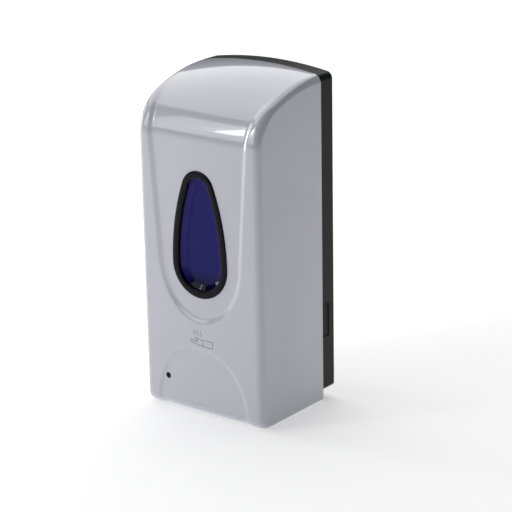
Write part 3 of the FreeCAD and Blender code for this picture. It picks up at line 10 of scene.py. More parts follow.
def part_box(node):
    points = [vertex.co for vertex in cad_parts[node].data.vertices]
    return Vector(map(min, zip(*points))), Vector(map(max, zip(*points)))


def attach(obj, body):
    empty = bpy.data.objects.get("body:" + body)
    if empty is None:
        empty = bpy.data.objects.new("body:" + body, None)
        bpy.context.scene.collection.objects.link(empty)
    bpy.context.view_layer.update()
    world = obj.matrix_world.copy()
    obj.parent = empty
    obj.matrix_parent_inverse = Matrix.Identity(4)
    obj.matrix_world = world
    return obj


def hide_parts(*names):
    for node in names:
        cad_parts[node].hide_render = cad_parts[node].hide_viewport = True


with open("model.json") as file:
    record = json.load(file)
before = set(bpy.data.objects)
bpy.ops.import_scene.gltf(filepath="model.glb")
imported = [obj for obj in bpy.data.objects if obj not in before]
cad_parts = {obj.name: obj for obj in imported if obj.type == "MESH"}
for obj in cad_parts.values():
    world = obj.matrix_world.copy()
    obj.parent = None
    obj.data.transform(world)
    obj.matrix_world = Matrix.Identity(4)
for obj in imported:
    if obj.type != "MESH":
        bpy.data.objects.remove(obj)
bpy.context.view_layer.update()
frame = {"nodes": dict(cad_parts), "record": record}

bl_info = {
    "name": "Wall soap dispenser looks",
    "version": (1, 0, 0),
    "blender": (4, 5, 0),
    "location": "3D View > Sidebar > Soap dispenser",
    "description": "Finished casing, window, pictogram and finishes round the dispenser's frame",
    "category": "Object",
}

MM = 0.001
COVER_LOW, COVER_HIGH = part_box("front_cover")
RIM = COVER_LOW[2]
FRONT = -COVER_LOW[1]
HALF_WIDTH = COVER_HIGH[0]
SKIN = FRONT - 0.1 * MM
BEZEL_LOW, BEZEL_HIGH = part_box("window_bezel")
GUIDE_LOW, GUIDE_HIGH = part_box("status_light_guide")
LENS_LOW, LENS_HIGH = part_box("window_lens")
DIAL_LOW, DIAL_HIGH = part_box("dose_dial")
PIN_LOW, PIN_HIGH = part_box("hinge_pins")

# U shaped panel, in millimetres above the rim and across
PANEL_HALF = 38.5
PANEL_WAIST = 128.0
PANEL_BOWL = 50.0
PANEL_SPREAD = 0.0747
FLARE_UP, FLARE_RUN, FLARE_WIDE = 229.0, 30.0, 6.0
FADE_UP, FADE_RUN = 232.0, 24.0

# arched foot recess, a curve between an ellipse and a rectangle
FOOT_HALF, FOOT_HIGH, FOOT_POWER = 43.3, 54.0, 2.25

# hinge ears and latch keepers inside the cover's side walls, in millimetres
EAR_RADIUS, EAR_BORE = 3.2, 1.55
EAR_SPAN = (44.5, 56.0)
EAR_BORE_SPAN = (43.0, 50.8)
KEEPER_ACROSS = (53.0, 56.0)
KEEPER_UP = (61.0, 72.0)
KEEPER_REACH = (18.2, 20.2)

# ring of the window, in millimetres
RING_SEAT = 1.1
RING_LEDGE = 2.6
RING_LEDGE_RISE = 1.15
RING_ROUND = 0.75

# the camera's place in metres and its axes
CAMERA_PLACE = Vector((0.85533, -1.1152, 0.40433))
CAMERA_RIGHT = Vector((0.79068, 0.61195, -0.01831))
CAMERA_UP = Vector((-0.17238, 0.25123, 0.95245))
CAMERA_BACK = Vector((0.58746, -0.74993, 0.30413))
CAMERA_LENS = 131.05


# ---------------------------------------------------------------- sizes and colours

def length(name, text, value):
    return FloatProperty(name=name, description=text, default=value * MM, unit="LENGTH", precision=5)


def colour(name, text, value):
    return FloatVectorProperty(name=name, description=text, default=value, subtype="COLOR",
                               min=0.0, max=1.0, size=3)


class SOAP_PG_casing(bpy.types.PropertyGroup):
    seam: length("Seam", "Distance of the seam from the wall", 14.5)
    crown: length("Crown", "How far the middle of the front stands out", 1.3)
    arch_drop: length("Arch drop", "How much lower the top is at the sides", 5)
    shoulder_up: length("Shoulder height", "Height above the rim where the front starts to turn", 216)
    shoulder_radius: length("Shoulder radius", "Radius of the turn from front to dome", 35)
    edge_radius: length("Edge radius", "Rounding along the two front edges", 5.5)
    foot_radius: length("Foot radius", "Rounding under the front", 9)
    wall: length("Wall", "Thickness of the cover", 3)
    foot_lip: length("Foot lip", "How far the foot lip reaches back", 12)
    step_depth: length("Panel depth", "How deep the U shaped panel is sunk", 1.65)
    step_band: length("Panel slope", "Width of the slope round the panel", 4.3)
    arch_depth: length("Foot recess depth", "How deep the arched foot recess is sunk", 0.85)
    arch_band: length("Foot recess slope", "Width of the slope round the foot recess", 3.4)


class SOAP_PG_window(bpy.types.PropertyGroup):
    low_up: length("Low centre", "Height above the rim of the large round end", 122)
    high_up: length("High centre", "Height above the rim of the small round end", 180)
    low_radius: length("Low radius", "Radius of the large round end", 26)
    high_radius: length("High radius", "Radius of the small round end", 15.5)
    ring_width: length("Ring width", "Width of the window ring", 5.5)
    pan_slope: length("Pan slope", "Width of the sloped wall of the window pan", 3.2)


class SOAP_PG_finish(bpy.types.PropertyGroup):
    shell: colour("Shell", "Glossy white of the cover", (0.545, 0.548, 0.625))
    plate: colour("Plate", "Dark satin of the wall plate", (0.005, 0.012, 0.0095))
    ring: colour("Ring", "Black of the window ring", (0.0025, 0.0025, 0.005))
    window: colour("Window", "Deep blue of the window", (0.007, 0.0075, 0.115))
    line: colour("Line", "Grey of the pictogram", (0.075, 0.075, 0.08))
    stroke: length("Stroke", "Line width of the pictogram", 0.62)
    grip_ribs: IntProperty(name="Dial ribs", description="Grip ribs round the dose dial", default=24)


def casing():
    return bpy.context.scene.soap_casing


def window():
    return bpy.context.scene.soap_window


def finish():
    return bpy.context.scene.soap_finish


# ---------------------------------------------------------------- shape of the casing

def crown_at(x):
    return casing().crown * (1 - (x / HALF_WIDTH) ** 2)


def arch_at(x):
    return casing().arch_drop * (x / HALF_WIDTH) ** 2


def side_section(x, inset, floor, seam, steps):
    """Closed side outline (reach, height above the rim): base, foot, front, shoulder, dome, seam."""
    size = casing()
    depth = SKIN - size.crown + crown_at(x) - size.seam - inset
    top = COVER_HIGH[2] - RIM - arch_at(x) - inset
    small = size.shoulder_radius - inset
    foot = size.foot_radius - max(inset, floor)
    rise = top - size.shoulder_up
    large = ((depth - small) ** 2 + rise ** 2 - small ** 2) / (2 * (rise - small))
    front = size.seam + depth
    sweep = math.asin((depth - small) / (large - small))
    points = [(seam + (front - foot - seam) * i / steps["base"], floor) for i in range(steps["base"])]
    for i in range(steps["foot"]):
        angle = math.pi / 2 * i / steps["foot"]
        points.append((front - foot + foot * math.sin(angle), floor + foot - foot * math.cos(angle)))
    straight = size.shoulder_up - floor - foot
    for i in range(steps["front"]):
        points.append((front, floor + foot + straight * i / steps["front"]))
    turn = math.pi / 2 - sweep
    for i in range(steps["shoulder"]):
        angle = turn * i / steps["shoulder"]
        points.append((front - small + small * math.cos(angle),
                       size.shoulder_up + small * math.sin(angle)))
    for i in range(steps["dome"] + 1):
        angle = sweep * (1 - i / steps["dome"])
        points.append((size.seam + large * math.sin(angle), top - large + large * math.cos(angle)))
    if seam < size.seam:
        points.append((seam, top))
    for i in range(1, steps["seam"]):
        points.append((seam, top + (floor - top) * i / steps["seam"]))
    return points


def ramp(distance, band):
    """0 outside a recess and 1 inside, across a slope of the given width."""
    t = min(max(distance / band + 0.5, 0.0), 1.0)
    soft = t * t * (3 - 2 * t)
    return 0.72 * t + 0.28 * soft


def panel_inside(x, up):
    """Distance inside the U shaped panel's edge; negative outside it."""
    x = abs(x) / MM
    up = up / MM
    rise = up - PANEL_WAIST
    if rise >= 0:
        flare = max(0.0, (up - FLARE_UP) / FLARE_RUN) ** 2 * FLARE_WIDE
        return (PANEL_HALF + rise * PANEL_SPREAD + flare - x) * MM
    level = math.hypot(x / PANEL_HALF, rise / PANEL_BOWL)
    slope = math.hypot(x / PANEL_HALF ** 2, rise / PANEL_BOWL ** 2) / max(level, 1e-6)
    return (1 - level) / max(slope, 1e-6) * MM


def foot_inside(x, up):
    """Distance inside the arched foot recess; negative outside it."""
    x = abs(x) / MM
    up = max(up / MM, 0.0)
    power = FOOT_POWER
    level = (x / FOOT_HALF) ** power + (up / FOOT_HIGH) ** power
    slope = math.hypot(power * x ** (power - 1) / FOOT_HALF ** power,
                       power * up ** (power - 1) / FOOT_HIGH ** power)
    return (1 - level) / max(slope, 1e-4) * MM


def sunk(x, up):
    """Depth of the two recesses at a place on the skin."""
    size = casing()
    fade = 1 - min(max((up / MM - FADE_UP) / FADE_RUN, 0.0), 1.0)
    fade = fade * fade * (3 - 2 * fade)
    panel = size.step_depth * ramp(panel_inside(x, up), size.step_band) * fade
    foot = size.arch_depth * ramp(foot_inside(x, up), size.arch_band)
    return panel + foot


def front_reach(x, up):
    """Reach of the finished skin on the straight part of the front."""
    return SKIN - casing().crown + crown_at(x) - sunk(x, up)


def spread(stops):
    """Positions from (end, spacing) stretches laid one after another."""
    places = [stops[0][0]]
    for (start, _), (end, pitch) in zip(stops, stops[1:]):
        count = max(1, round(abs(end - start) / pitch))
        places += [start + (end - start) * (i + 1) / count for i in range(count)]
    return places


# ---------------------------------------------------------------- mesh helpers

def new_object(name, verts, faces, smooth_angle=35):
    mesh = bpy.data.meshes.new(name)
    mesh.from_pydata([tuple(v) for v in verts], [], faces)
    mesh.update()
    build = bmesh.new()
    build.from_mesh(mesh)
    bmesh.ops.remove_doubles(build, verts=build.verts, dist=1e-7)
    bmesh.ops.recalc_face_normals(build, faces=build.faces)
    build.to_mesh(mesh)
    build.free()
    item = bpy.data.objects.new(name, mesh)
    bpy.context.scene.collection.objects.link(item)
    shade(item, smooth_angle)
    return item


def shade(item, angle=35):
    for face in item.data.polygons:
        face.use_smooth = True
    item.data.set_sharp_from_angle(angle=math.radians(angle))


def tube_of_loops(name, loops, angle=35):
    """Closed solid through equal loops, with flat caps on the first and the last."""
    count = len(loops[0])
    verts = [point for loop in loops for point in loop]
    faces = []
    for row in range(len(loops) - 1):
        for i in range(count):
            j = (i + 1) % count
            a, b = row * count, (row + 1) * count
            faces.append((a + i, a + j, b + j, b + i))
    faces.append(tuple(range(count)))
    faces.append(tuple((len(loops) - 1) * count + i for i in reversed(range(count))))
    return new_object(name, verts, faces, angle)


def bake(item):
    """Apply an object's modifiers to a plain mesh."""
    graph = bpy.context.evaluated_depsgraph_get()
    mesh = bpy.data.meshes.new_from_object(item.evaluated_get(graph))
    item.modifiers.clear()
    item.data = mesh
    return item


def carve(item, cutter):
    change = item.modifiers.new("carve", "BOOLEAN")
    change.operation = "DIFFERENCE"
    change.solver = "EXACT"
    change.object = cutter
    bake(item)
    bpy.data.objects.remove(cutter)


def merge_into(item, *others):
    """Add other meshes to an object as further closed shells."""
    build = bmesh.new()
    build.from_mesh(item.data)
    for other in others:
        build.from_mesh(other.data)
        bpy.data.objects.remove(other)
    build.to_mesh(item.data)
    build.free()


def prism(name, outline, near, far):
    """Closed solid from an (x, height above the rim) outline between two reaches."""
    loops = [[(x, -reach, RIM + up) for x, up in outline] for reach in (near, far)]
    return tube_of_loops(name, loops)


def disc(radius, count=48):
    return [(radius * math.cos(2 * math.pi * i / count), radius * math.sin(2 * math.pi * i / count))
            for i in range(count)]


def teardrop(offset, per_arc=36):
    """Window outline set out by offset: points (x, height above the rim), anticlockwise."""
    size = window()
    span = size.high_up - size.low_up
    bend = ((span ** 2 + size.low_radius ** 2 - size.high_radius ** 2)
            / (2 * (size.low_radius - size.high_radius)))
    arm = bend - size.low_radius
    tilt = math.asin(span / (bend - size.high_radius))
    points = []
    for i in range(per_arc):
        angle = -math.pi + math.pi * i / per_arc
        radius = size.low_radius + offset
        points.append((radius * math.cos(angle), size.low_up + radius * math.sin(angle)))
    for i in range(per_arc):
        angle = tilt * i / per_arc
        radius = bend + offset
        points.append((-arm + radius * math.cos(angle), size.low_up + radius * math.sin(angle)))
    for i in range(per_arc):
        angle = tilt + (math.pi - 2 * tilt) * i / per_arc
        radius = size.high_radius + offset
        points.append((radius * math.cos(angle), size.high_up + radius * math.sin(angle)))
    for i in range(per_arc):
        angle = tilt * (1 - i / per_arc)
        radius = bend + offset
        points.append((arm - radius * math.cos(angle), size.low_up + radius * math.sin(angle)))
    return points


# ---------------------------------------------------------------- shared shader groups

def node_group(name, outputs):
    tree = bpy.data.node_groups.new(name, "ShaderNodeTree")
    tree.interface.new_socket("Scale", in_out="INPUT", socket_type="NodeSocketFloat")
    tree.interface.new_socket("Strength", in_out="INPUT", socket_type="NodeSocketFloat")
    for label, kind in outputs:
        tree.interface.new_socket(label, in_out="OUTPUT", socket_type=kind)
    return tree, tree.nodes.new("NodeGroupInput"), tree.nodes.new("NodeGroupOutput")


def moulded_group():
    """Fine grain and slow waviness of an injection moulded face, as a normal and a mask."""
    tree, source, result = node_group("moulded_face", (("Normal", "NodeSocketVector"),
                                                       ("Mask", "NodeSocketFloat")))
    links = tree.links
    place = tree.nodes.new("ShaderNodeTexCoord")
    grain = tree.nodes.new("ShaderNodeTexNoise")
    wave = tree.nodes.new("ShaderNodeTexNoise")
    slow = tree.nodes.new("ShaderNodeMath")
    slow.operation = "MULTIPLY"
    slow.inputs[1].default_value = 0.02
    mix = tree.nodes.new("ShaderNodeMath")
    mix.operation = "MULTIPLY_ADD"
    mix.inputs[1].default_value = 0.25
    bump = tree.nodes.new("ShaderNodeBump")
    bump.inputs["Distance"].default_value = 0.0001
    links.new(source.outputs["Scale"], grain.inputs["Scale"])
    links.new(source.outputs["Scale"], slow.inputs[0])
    links.new(slow.outputs[0], wave.inputs["Scale"])
    links.new(place.outputs["Object"], grain.inputs["Vector"])
    links.new(place.outputs["Object"], wave.inputs["Vector"])
    grain.inputs["Detail"].default_value = 3
    links.new(grain.outputs["Fac"], mix.inputs[0])
    links.new(wave.outputs["Fac"], mix.inputs[2])
    links.new(mix.outputs[0], bump.inputs["Height"])
    links.new(source.outputs["Strength"], bump.inputs["Strength"])
    links.new(bump.outputs["Normal"], result.inputs["Normal"])
    links.new(wave.outputs["Fac"], result.inputs["Mask"])
    return tree


def brushed_group():
    """Fine directional scratches of drawn or turned metal, as a normal and a mask."""
    tree, source, result = node_group("brushed_face", (("Normal", "NodeSocketVector"),
                                                       ("Mask", "NodeSocketFloat")))
    links = tree.links
    place = tree.nodes.new("ShaderNodeTexCoord")
    stretch = tree.nodes.new("ShaderNodeMapping")
    stretch.inputs["Scale"].default_value = (1.0, 0.04, 1.0)
    lines = tree.nodes.new("ShaderNodeTexNoise")
    lines.inputs["Detail"].default_value = 4
    bump = tree.nodes.new("ShaderNodeBump")
    bump.inputs["Distance"].default_value = 0.00005
    links.new(place.outputs["Object"], stretch.inputs["Vector"])
    links.new(stretch.outputs[0], lines.inputs["Vector"])
    links.new(source.outputs["Scale"], lines.inputs["Scale"])
    links.new(lines.outputs["Fac"], bump.inputs["Height"])
    links.new(source.outputs["Strength"], bump.inputs["Strength"])
    links.new(bump.outputs["Normal"], result.inputs["Normal"])
    links.new(lines.outputs["Fac"], result.inputs["Mask"])
    return tree


def surface(name, group, base, other, rough, scale, strength, **sockets):
    """Principled finish whose colour and roughness drift with a shared group's mask."""
    made = bpy.data.materials.get("soap_" + name)
    if made:
        return made
    made = bpy.data.materials.new("soap_" + name)
    made.use_nodes = True
    nodes, links = made.node_tree.nodes, made.node_tree.links
    shader = nodes["Principled BSDF"]
    face = nodes.new("ShaderNodeGroup")
    face.node_tree = bpy.data.node_groups[group]
    face.inputs["Scale"].default_value = scale
    face.inputs["Strength"].default_value = strength
    tint = nodes.new("ShaderNodeMix")
    tint.data_type = "RGBA"
    tint.inputs["A"].default_value = (*base, 1)
    tint.inputs["B"].default_value = (*other, 1)
    gloss = nodes.new("ShaderNodeMapRange")
    gloss.inputs["To Min"].default_value = rough[0]
    gloss.inputs["To Max"].default_value = rough[1]
    links.new(face.outputs["Mask"], tint.inputs["Factor"])
    links.new(face.outputs["Mask"], gloss.inputs["Value"])
    links.new(tint.outputs["Result"], shader.inputs["Base Color"])
    links.new(gloss.outputs["Result"], shader.inputs["Roughness"])
    links.new(face.outputs["Normal"], shader.inputs["Normal"])
    for label, value in sockets.items():
        shader.inputs[label.replace("_", " ")].default_value = value
    return made


def scaled(base, factor):
    return tuple(min(1.0, value * factor) for value in base)


def white_shell():
    tone = tuple(finish().shell)
    return surface("white_shell", "moulded_face", tone, scaled(tone, 0.97), (0.14, 0.2), 700, 0.02,
                   Coat_Weight=1.0, Coat_Roughness=0.03)


def dark_plate():
    tone = tuple(finish().plate)
    return surface("dark_plate", "moulded_face", tone, scaled(tone, 1.25), (0.3, 0.4), 1400, 0.2,
                   Specular_IOR_Level=0.16)


def black_ring():
    tone = tuple(finish().ring)
    return surface("black_ring", "moulded_face", tone, scaled(tone, 1.3), (0.12, 0.2), 900, 0.03,
                   Specular_IOR_Level=0.13)


def blue_window():
    tone = tuple(finish().window)
    made = surface("blue_window", "moulded_face", tone, scaled(tone, 1.35), (0.04, 0.08), 500, 0.02,
                   Specular_IOR_Level=0.12)
    if "level" in made.node_tree.nodes:
        return made
    nodes, links = made.node_tree.nodes, made.node_tree.links
    place = nodes.new("ShaderNodeTexCoord")
    split = nodes.new("ShaderNodeSeparateXYZ")
    level = nodes.new("ShaderNodeMapRange")
    level.name = "level"
    level.inputs["From Min"].default_value = RIM + 104 * MM
    level.inputs["From Max"].default_value = RIM + 117 * MM
    shade_mix = nodes.new("ShaderNodeMix")
    shade_mix.data_type = "RGBA"
    shade_mix.inputs["A"].default_value = (*scaled(tone, 0.2), 1)
    # Pan walls that face +X are painted a lighter purple: a painted reflection on the left inner wall
    # of the window.
    facing = nodes.new("ShaderNodeSeparateXYZ")
    slope = nodes.new("ShaderNodeMapRange")
    slope.inputs["From Min"].default_value = 0.3
    slope.inputs["From Max"].default_value = 0.6
    painted_wall_reflection_mix = nodes.new("ShaderNodeMix")
    painted_wall_reflection_mix.data_type = "RGBA"
    painted_wall_reflection_mix.inputs["B"].default_value = (tone[0] * 7, tone[1] * 4, tone[2] * 2.2, 1)
    shader = nodes["Principled BSDF"]
    links.new(place.outputs["Normal"], facing.inputs["Vector"])
    links.new(facing.outputs["X"], slope.inputs["Value"])
    links.new(place.outputs["Object"], split.inputs["Vector"])
    links.new(split.outputs["Z"], level.inputs["Value"])
    links.new(level.outputs["Result"], shade_mix.inputs["Factor"])
    links.new(shader.inputs["Base Color"].links[0].from_socket, shade_mix.inputs["B"])
    # painted reflection: lighter purple mixed in where the wall faces +X
    links.new(slope.outputs["Result"], painted_wall_reflection_mix.inputs["Factor"])
    links.new(shade_mix.outputs["Result"], painted_wall_reflection_mix.inputs["A"])
    links.new(painted_wall_reflection_mix.outputs["Result"], shader.inputs["Base Color"])
    return made


def pictogram_grey():
    tone = tuple(finish().line)
    return surface("pictogram_grey", "moulded_face", tone, scaled(tone, 1.2), (0.4, 0.5), 1200, 0.1)


PLAIN_FINISHES = {
    "white_abs": white_shell,
    "plate_plastic": dark_plate,
    "black_gloss": black_ring,
    "window_blue": blue_window,
}

SLOT_FINISHES = {
    # near-black on the clear light guide is painted shade of the unlit inside of the cover seen
    # through it
    "clear_guide": ("moulded_face", (0.004, 0.004, 0.009), 1.6, (0.06, 0.12), 700, 0.02,
                    {"Specular_IOR_Level": 0.08}),
    "tank_plastic": ("moulded_face", (0.72, 0.75, 0.78), 0.93, (0.28, 0.4), 700, 0.12,
                     {"Subsurface_Weight": 0.2, "Subsurface_Scale": 0.004}),
    "chassis_plastic": ("moulded_face", (0.58, 0.59, 0.6), 0.92, (0.38, 0.5), 1100, 0.2, {}),
    "screw_steel": ("brushed_face", (0.62, 0.62, 0.64), 0.8, (0.22, 0.36), 1800, 0.3,
                    {"Metallic": 1.0}),
    "pin_steel": ("brushed_face", (0.55, 0.55, 0.57), 0.8, (0.2, 0.32), 2200, 0.3,
                  {"Metallic": 1.0}),
    "seal_rubber": ("moulded_face", (0.018, 0.018, 0.02), 1.5, (0.7, 0.85), 1800, 0.4, {}),
    "silicone": ("moulded_face", (0.7, 0.7, 0.67), 0.9, (0.4, 0.55), 900, 0.15,
                 {"Subsurface_Weight": 0.3, "Subsurface_Scale": 0.002}),
    "acetal": ("moulded_face", (0.77, 0.75, 0.68), 0.93, (0.3, 0.42), 1200, 0.15, {}),
    "motor_can": ("brushed_face", (0.5, 0.51, 0.53), 0.85, (0.25, 0.38), 900, 0.35,
                  {"Metallic": 1.0}),
    "board_green": ("moulded_face", (0.012, 0.11, 0.04), 0.7, (0.3, 0.42), 2500, 0.2, {}),
    "part_black": ("moulded_face", (0.015, 0.015, 0.017), 1.6, (0.4, 0.55), 2000, 0.3, {}),
    "cell_wrap": ("moulded_face", (0.02, 0.023, 0.028), 1.5, (0.18, 0.28), 600, 0.05, {}),
    "contact_metal": ("brushed_face", (0.72, 0.7, 0.64), 0.85, (0.18, 0.3), 2000, 0.25,
                      {"Metallic": 1.0}),
    "lamp_lens": ("moulded_face", (0.5, 0.05, 0.03), 1.2, (0.1, 0.18), 900, 0.02, {}),
    "control_grey": ("moulded_face", (0.09, 0.095, 0.105), 1.25, (0.35, 0.48), 1500, 0.25, {}),
}


def finish_of(slot):
    if slot in PLAIN_FINISHES:
        return PLAIN_FINISHES[slot]()
    group, tone, drift, rough, scale, strength, sockets = SLOT_FINISHES[slot]
    return surface(slot, group, tone, scaled(tone, drift), rough, scale, strength, **sockets)


def dress(item, material):
    item.data.materials.clear()
    item.data.materials.append(material)


def fit(item, body, slot, material, *nodes):
    """Give a finished piece its finish and its body, and hide the CAD nodes that it stands for."""
    dress(item, material)
    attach(item, body)
    if nodes:
        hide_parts(*nodes)


class SoapOperator(bpy.types.Operator):
    bl_options = {"REGISTER", "UNDO"}


class SOAP_OT_finishes(SoapOperator):
    """Make the shared surface groups and dress every CAD node in its record's finish"""
    bl_idname = "soap.finishes"
    bl_label = "Finishes"

    def execute(self, context):
        moulded_group()
        brushed_group()
        slots = {entry["node"]: entry["material_slot"] for entry in frame["record"]["subparts"]}
        for node, item in frame["nodes"].items():
            if not item.material_slots:
                item.data.materials.append(None)
            for entry in item.material_slots:
                entry.link = "OBJECT"
                entry.material = finish_of(slots[node])
        for node in ("left_latch", "right_latch"):
            for entry in frame["nodes"][node].material_slots:
                entry.material = black_ring()
        return {"FINISHED"}


class SOAP_OT_cover(SoapOperator):
    """Crowned cover with its domed top, sunk panel, foot recess, openings and hinge ears"""
    bl_idname = "soap.cover"
    bl_label = "Front cover"

    def execute(self, context):
        size = casing()
        steps = {"base": 4, "foot": 9, "front": 210, "shoulder": 36, "dome": 44, "seam": 6}
        flat = HALF_WIDTH - size.edge_radius
        columns = []
        for i in range(8):
            angle = math.pi / 2 * i / 8
            columns.append((-flat - size.edge_radius * math.cos(angle),
                            size.edge_radius * (1 - math.sin(angle))))
        inner = spread([(-flat, 0), (-34 * MM, 0.95 * MM), (34 * MM, 1.7 * MM), (flat, 0.95 * MM)])
        columns += [(x, 0.0) for x in inner]
        columns += [(-x, inset) for x, inset in reversed(columns[:8])]
        loops = []
        for x, inset in columns:
            section = side_section(x, inset, inset / 2, size.seam, steps)
            loops.append(self.sink(x, section, steps))
        cover = tube_of_loops("cover_shell", loops, 32)
        coarse = {"base": 1, "foot": 6, "front": 1, "shoulder": 14, "dome": 14, "seam": 1}
        wall = size.wall
        loops = []
        for i in range(11):
            x = (HALF_WIDTH - wall) * (i / 5 - 1)
            section = side_section(x, wall, wall, size.seam - 1.5 * MM, coarse)
            loops.append([(x, -reach, RIM + up) for reach, up in section])
        carve(cover, tube_of_loops("cavity", loops))
        side = HALF_WIDTH - wall
        mouth = [(-side, -MM), (side, -MM), (side, 4 * MM), (-side, 4 * MM)]
        back = FRONT - size.crown - size.foot_lip
        carve(cover, prism("foot_mouth", mouth, size.seam - 1.5 * MM, back))
        ledge = -BEZEL_HIGH[1] + RING_SEAT * MM
        carve(cover, prism("ring_seat", teardrop(0.1 * MM), ledge, FRONT + 4 * MM))
        carve(cover, prism("window_opening", teardrop(-2.5 * MM), ledge - 8 * MM, FRONT + 4 * MM))
        x = (GUIDE_LOW[0] + GUIDE_HIGH[0]) / 2
        up = (GUIDE_LOW[2] + GUIDE_HIGH[2]) / 2 - RIM
        hole = [(x + a, up + b) for a, b in disc(2.45 * MM)]
        carve(cover, prism("light_opening", hole, FRONT - 12 * MM, FRONT + 4 * MM))
        shade(cover, 32)
        merge_into(cover, *self.ears())
        fit(cover, "cover", "white_abs", white_shell(), "front_cover")
        return {"FINISHED"}

    def sink(self, x, section, steps):
        """Move the skin of one section inwards where a recess is."""
        last = len(section)
        loop = []
        skin = range(steps["base"], last - steps["seam"] + 1)
        for i, (reach, up) in enumerate(section):
            depth = sunk(x, up) if i in skin and reach > casing().seam + MM else 0.0
            if depth:
                before, after = section[i - 1], section[(i + 1) % last]
                along = Vector((after[0] - before[0], after[1] - before[1])).normalized()
                reach -= along.y * depth
                up += along.x * depth
            loop.append((x, -reach, RIM + up))
        return loop

    def ears(self):
        """Hinge ears and latch keepers inside the two side walls."""
        pieces = []
        axis_reach = -(PIN_LOW[1] + PIN_HIGH[1]) / 2
        axis_up = (PIN_LOW[2] + PIN_HIGH[2]) / 2
        for side in (-1, 1):
            loops = []
            for radius, span in ((EAR_RADIUS, EAR_SPAN), (EAR_BORE, EAR_BORE_SPAN)):
                ring = disc(radius * MM, 40)
                loops.append([[(x * MM * side, -axis_reach + a, axis_up + b) for a, b in ring]
                              for x in span])
            tube = tube_of_loops("ear", loops[0])
            carve(tube, tube_of_loops("ear_bore", loops[1]))
            shade(tube)
            pieces.append(tube)
            low, high = sorted(x * MM * side for x in KEEPER_ACROSS)
            bottom, top = (up * MM for up in KEEPER_UP)
            block = [(low, bottom), (high, bottom), (high, top), (low, top)]
            pieces.append(prism("keeper", block, *(reach * MM for reach in KEEPER_REACH)))
        return pieces


class SOAP_OT_window(SoapOperator):
    """Rounded black ring and the sunken blue pan inside it"""
    bl_idname = "soap.window"
    bl_label = "Window"

    def execute(self, context):
        size = window()
        crest = -BEZEL_LOW[1]
        root = -BEZEL_HIGH[1]
        width = size.ring_width
        inner = -RING_LEDGE * MM
        shelf = root + RING_LEDGE_RISE * MM
        rise = RING_ROUND * MM
        section = [(inner, root), (inner, shelf), (0.0, shelf), (0.0, crest - rise)]
        for i in range(13):
            angle = math.pi * i / 12
            offset = -width / 2 + width / 2 * math.cos(angle)
            section.append((offset, crest - rise + rise * math.sin(angle) ** 0.8))
        section.append((-width, root))
        rings = [teardrop(offset) for offset, _ in section]
        count = len(rings[0])
        loops = []
        for j in range(count):
            loops.append([(rings[k][j][0], -section[k][1], RIM + rings[k][j][1])
                          for k in range(len(section))])
        verts = [point for loop in loops for point in loop]
        faces = []
        span = len(section)
        for j in range(count):
            n = (j + 1) % count
            for k in range(span):
                m = (k + 1) % span
                faces.append((j * span + k, j * span + m, n * span + m, n * span + k))
        ring = new_object("window_ring", verts, faces, 40)
        fit(ring, "cover", "black_gloss", black_ring(), "window_bezel")
        front = -LENS_LOW[1]
        back = -LENS_HIGH[1]
        pan = -size.ring_width - 0.3 * MM
        foot = pan - size.pan_slope
        stack = [(3 * MM, front - 1.4 * MM), (3 * MM, front), (pan + 0.4 * MM, front),
                 (pan - 0.2 * MM, front - 0.15 * MM), (foot, front - 2.8 * MM),
                 (foot - 0.7 * MM, front - 3.05 * MM), (foot - 4 * MM, front - 2.95 * MM),
                 (foot - 5.4 * MM, front - 2.9 * MM)]
        under = [(foot - 4 * MM, back), (foot + 0.6 * MM, back), (pan + 0.6 * MM, front - 1.4 * MM)]
        loops = [[(x, -reach, RIM + up) for x, up in teardrop(offset)]
                 for offset, reach in reversed(stack)]
        loops += [[(x, -reach, RIM + up) for x, up in teardrop(offset)]
                  for offset, reach in reversed(under)]
        lens = tube_of_loops("window_pan", loops, 40)
        fit(lens, "cover", "window_blue", blue_window(), "window_lens")
        return {"FINISHED"}


class SOAP_OT_light(SoapOperator):
    """Domed status light in the cover"""
    bl_idname = "soap.light"
    bl_label = "Status light"

    def execute(self, context):
        x = (GUIDE_LOW[0] + GUIDE_HIGH[0]) / 2
        up = (GUIDE_LOW[2] + GUIDE_HIGH[2]) / 2
        flange = (GUIDE_HIGH[0] - GUIDE_LOW[0]) / 2
        near, far = -GUIDE_HIGH[1], -GUIDE_LOW[1]
        radius = flange - 1.2 * MM
        stack = [(flange, near), (flange, near + MM), (radius, near + MM), (radius, far - 1.1 * MM)]
        for i in range(1, 8):
            angle = math.pi / 2 * i / 8
            stack.append((radius * math.cos(angle), far - 1.1 * MM + 0.5 * MM * math.sin(angle)))
        loops = [[(x + a, -reach, up + b) for a, b in disc(size, 40)] for size, reach in stack]
        guide = tube_of_loops("status_light", loops, 40)
        # the guide's near-black colour is painted shade of the unlit inside of the cover
        fit(guide, "cover", "clear_guide", finish_of("clear_guide"), "status_light_guide")
        return {"FINISHED"}


# ---------------------------------------------------------------- repeated pieces

def geometry_tree(name, sockets):
    """Geometry node tree with named inputs, returned with its input and output nodes."""
    tree = bpy.data.node_groups.new(name, "GeometryNodeTree")
    tree.interface.new_socket("Geometry", in_out="INPUT", socket_type="NodeSocketGeometry")
    for label, kind in sockets:
        tree.interface.new_socket(label, in_out="INPUT", socket_type=kind)
    tree.interface.new_socket("Geometry", in_out="OUTPUT", socket_type="NodeSocketGeometry")
    return tree, tree.nodes.new("NodeGroupInput"), tree.nodes.new("NodeGroupOutput")


def close_tree(tree, source, result, last):
    """Realize the instances, set the material and hand the mesh out."""
    real = tree.nodes.new("GeometryNodeRealizeInstances")
    paint = tree.nodes.new("GeometryNodeSetMaterial")
    tree.links.new(last, real.inputs["Geometry"])
    tree.links.new(real.outputs["Geometry"], paint.inputs["Geometry"])
    tree.links.new(source.outputs["Material"], paint.inputs["Material"])
    tree.links.new(paint.outputs["Geometry"], result.inputs["Geometry"])


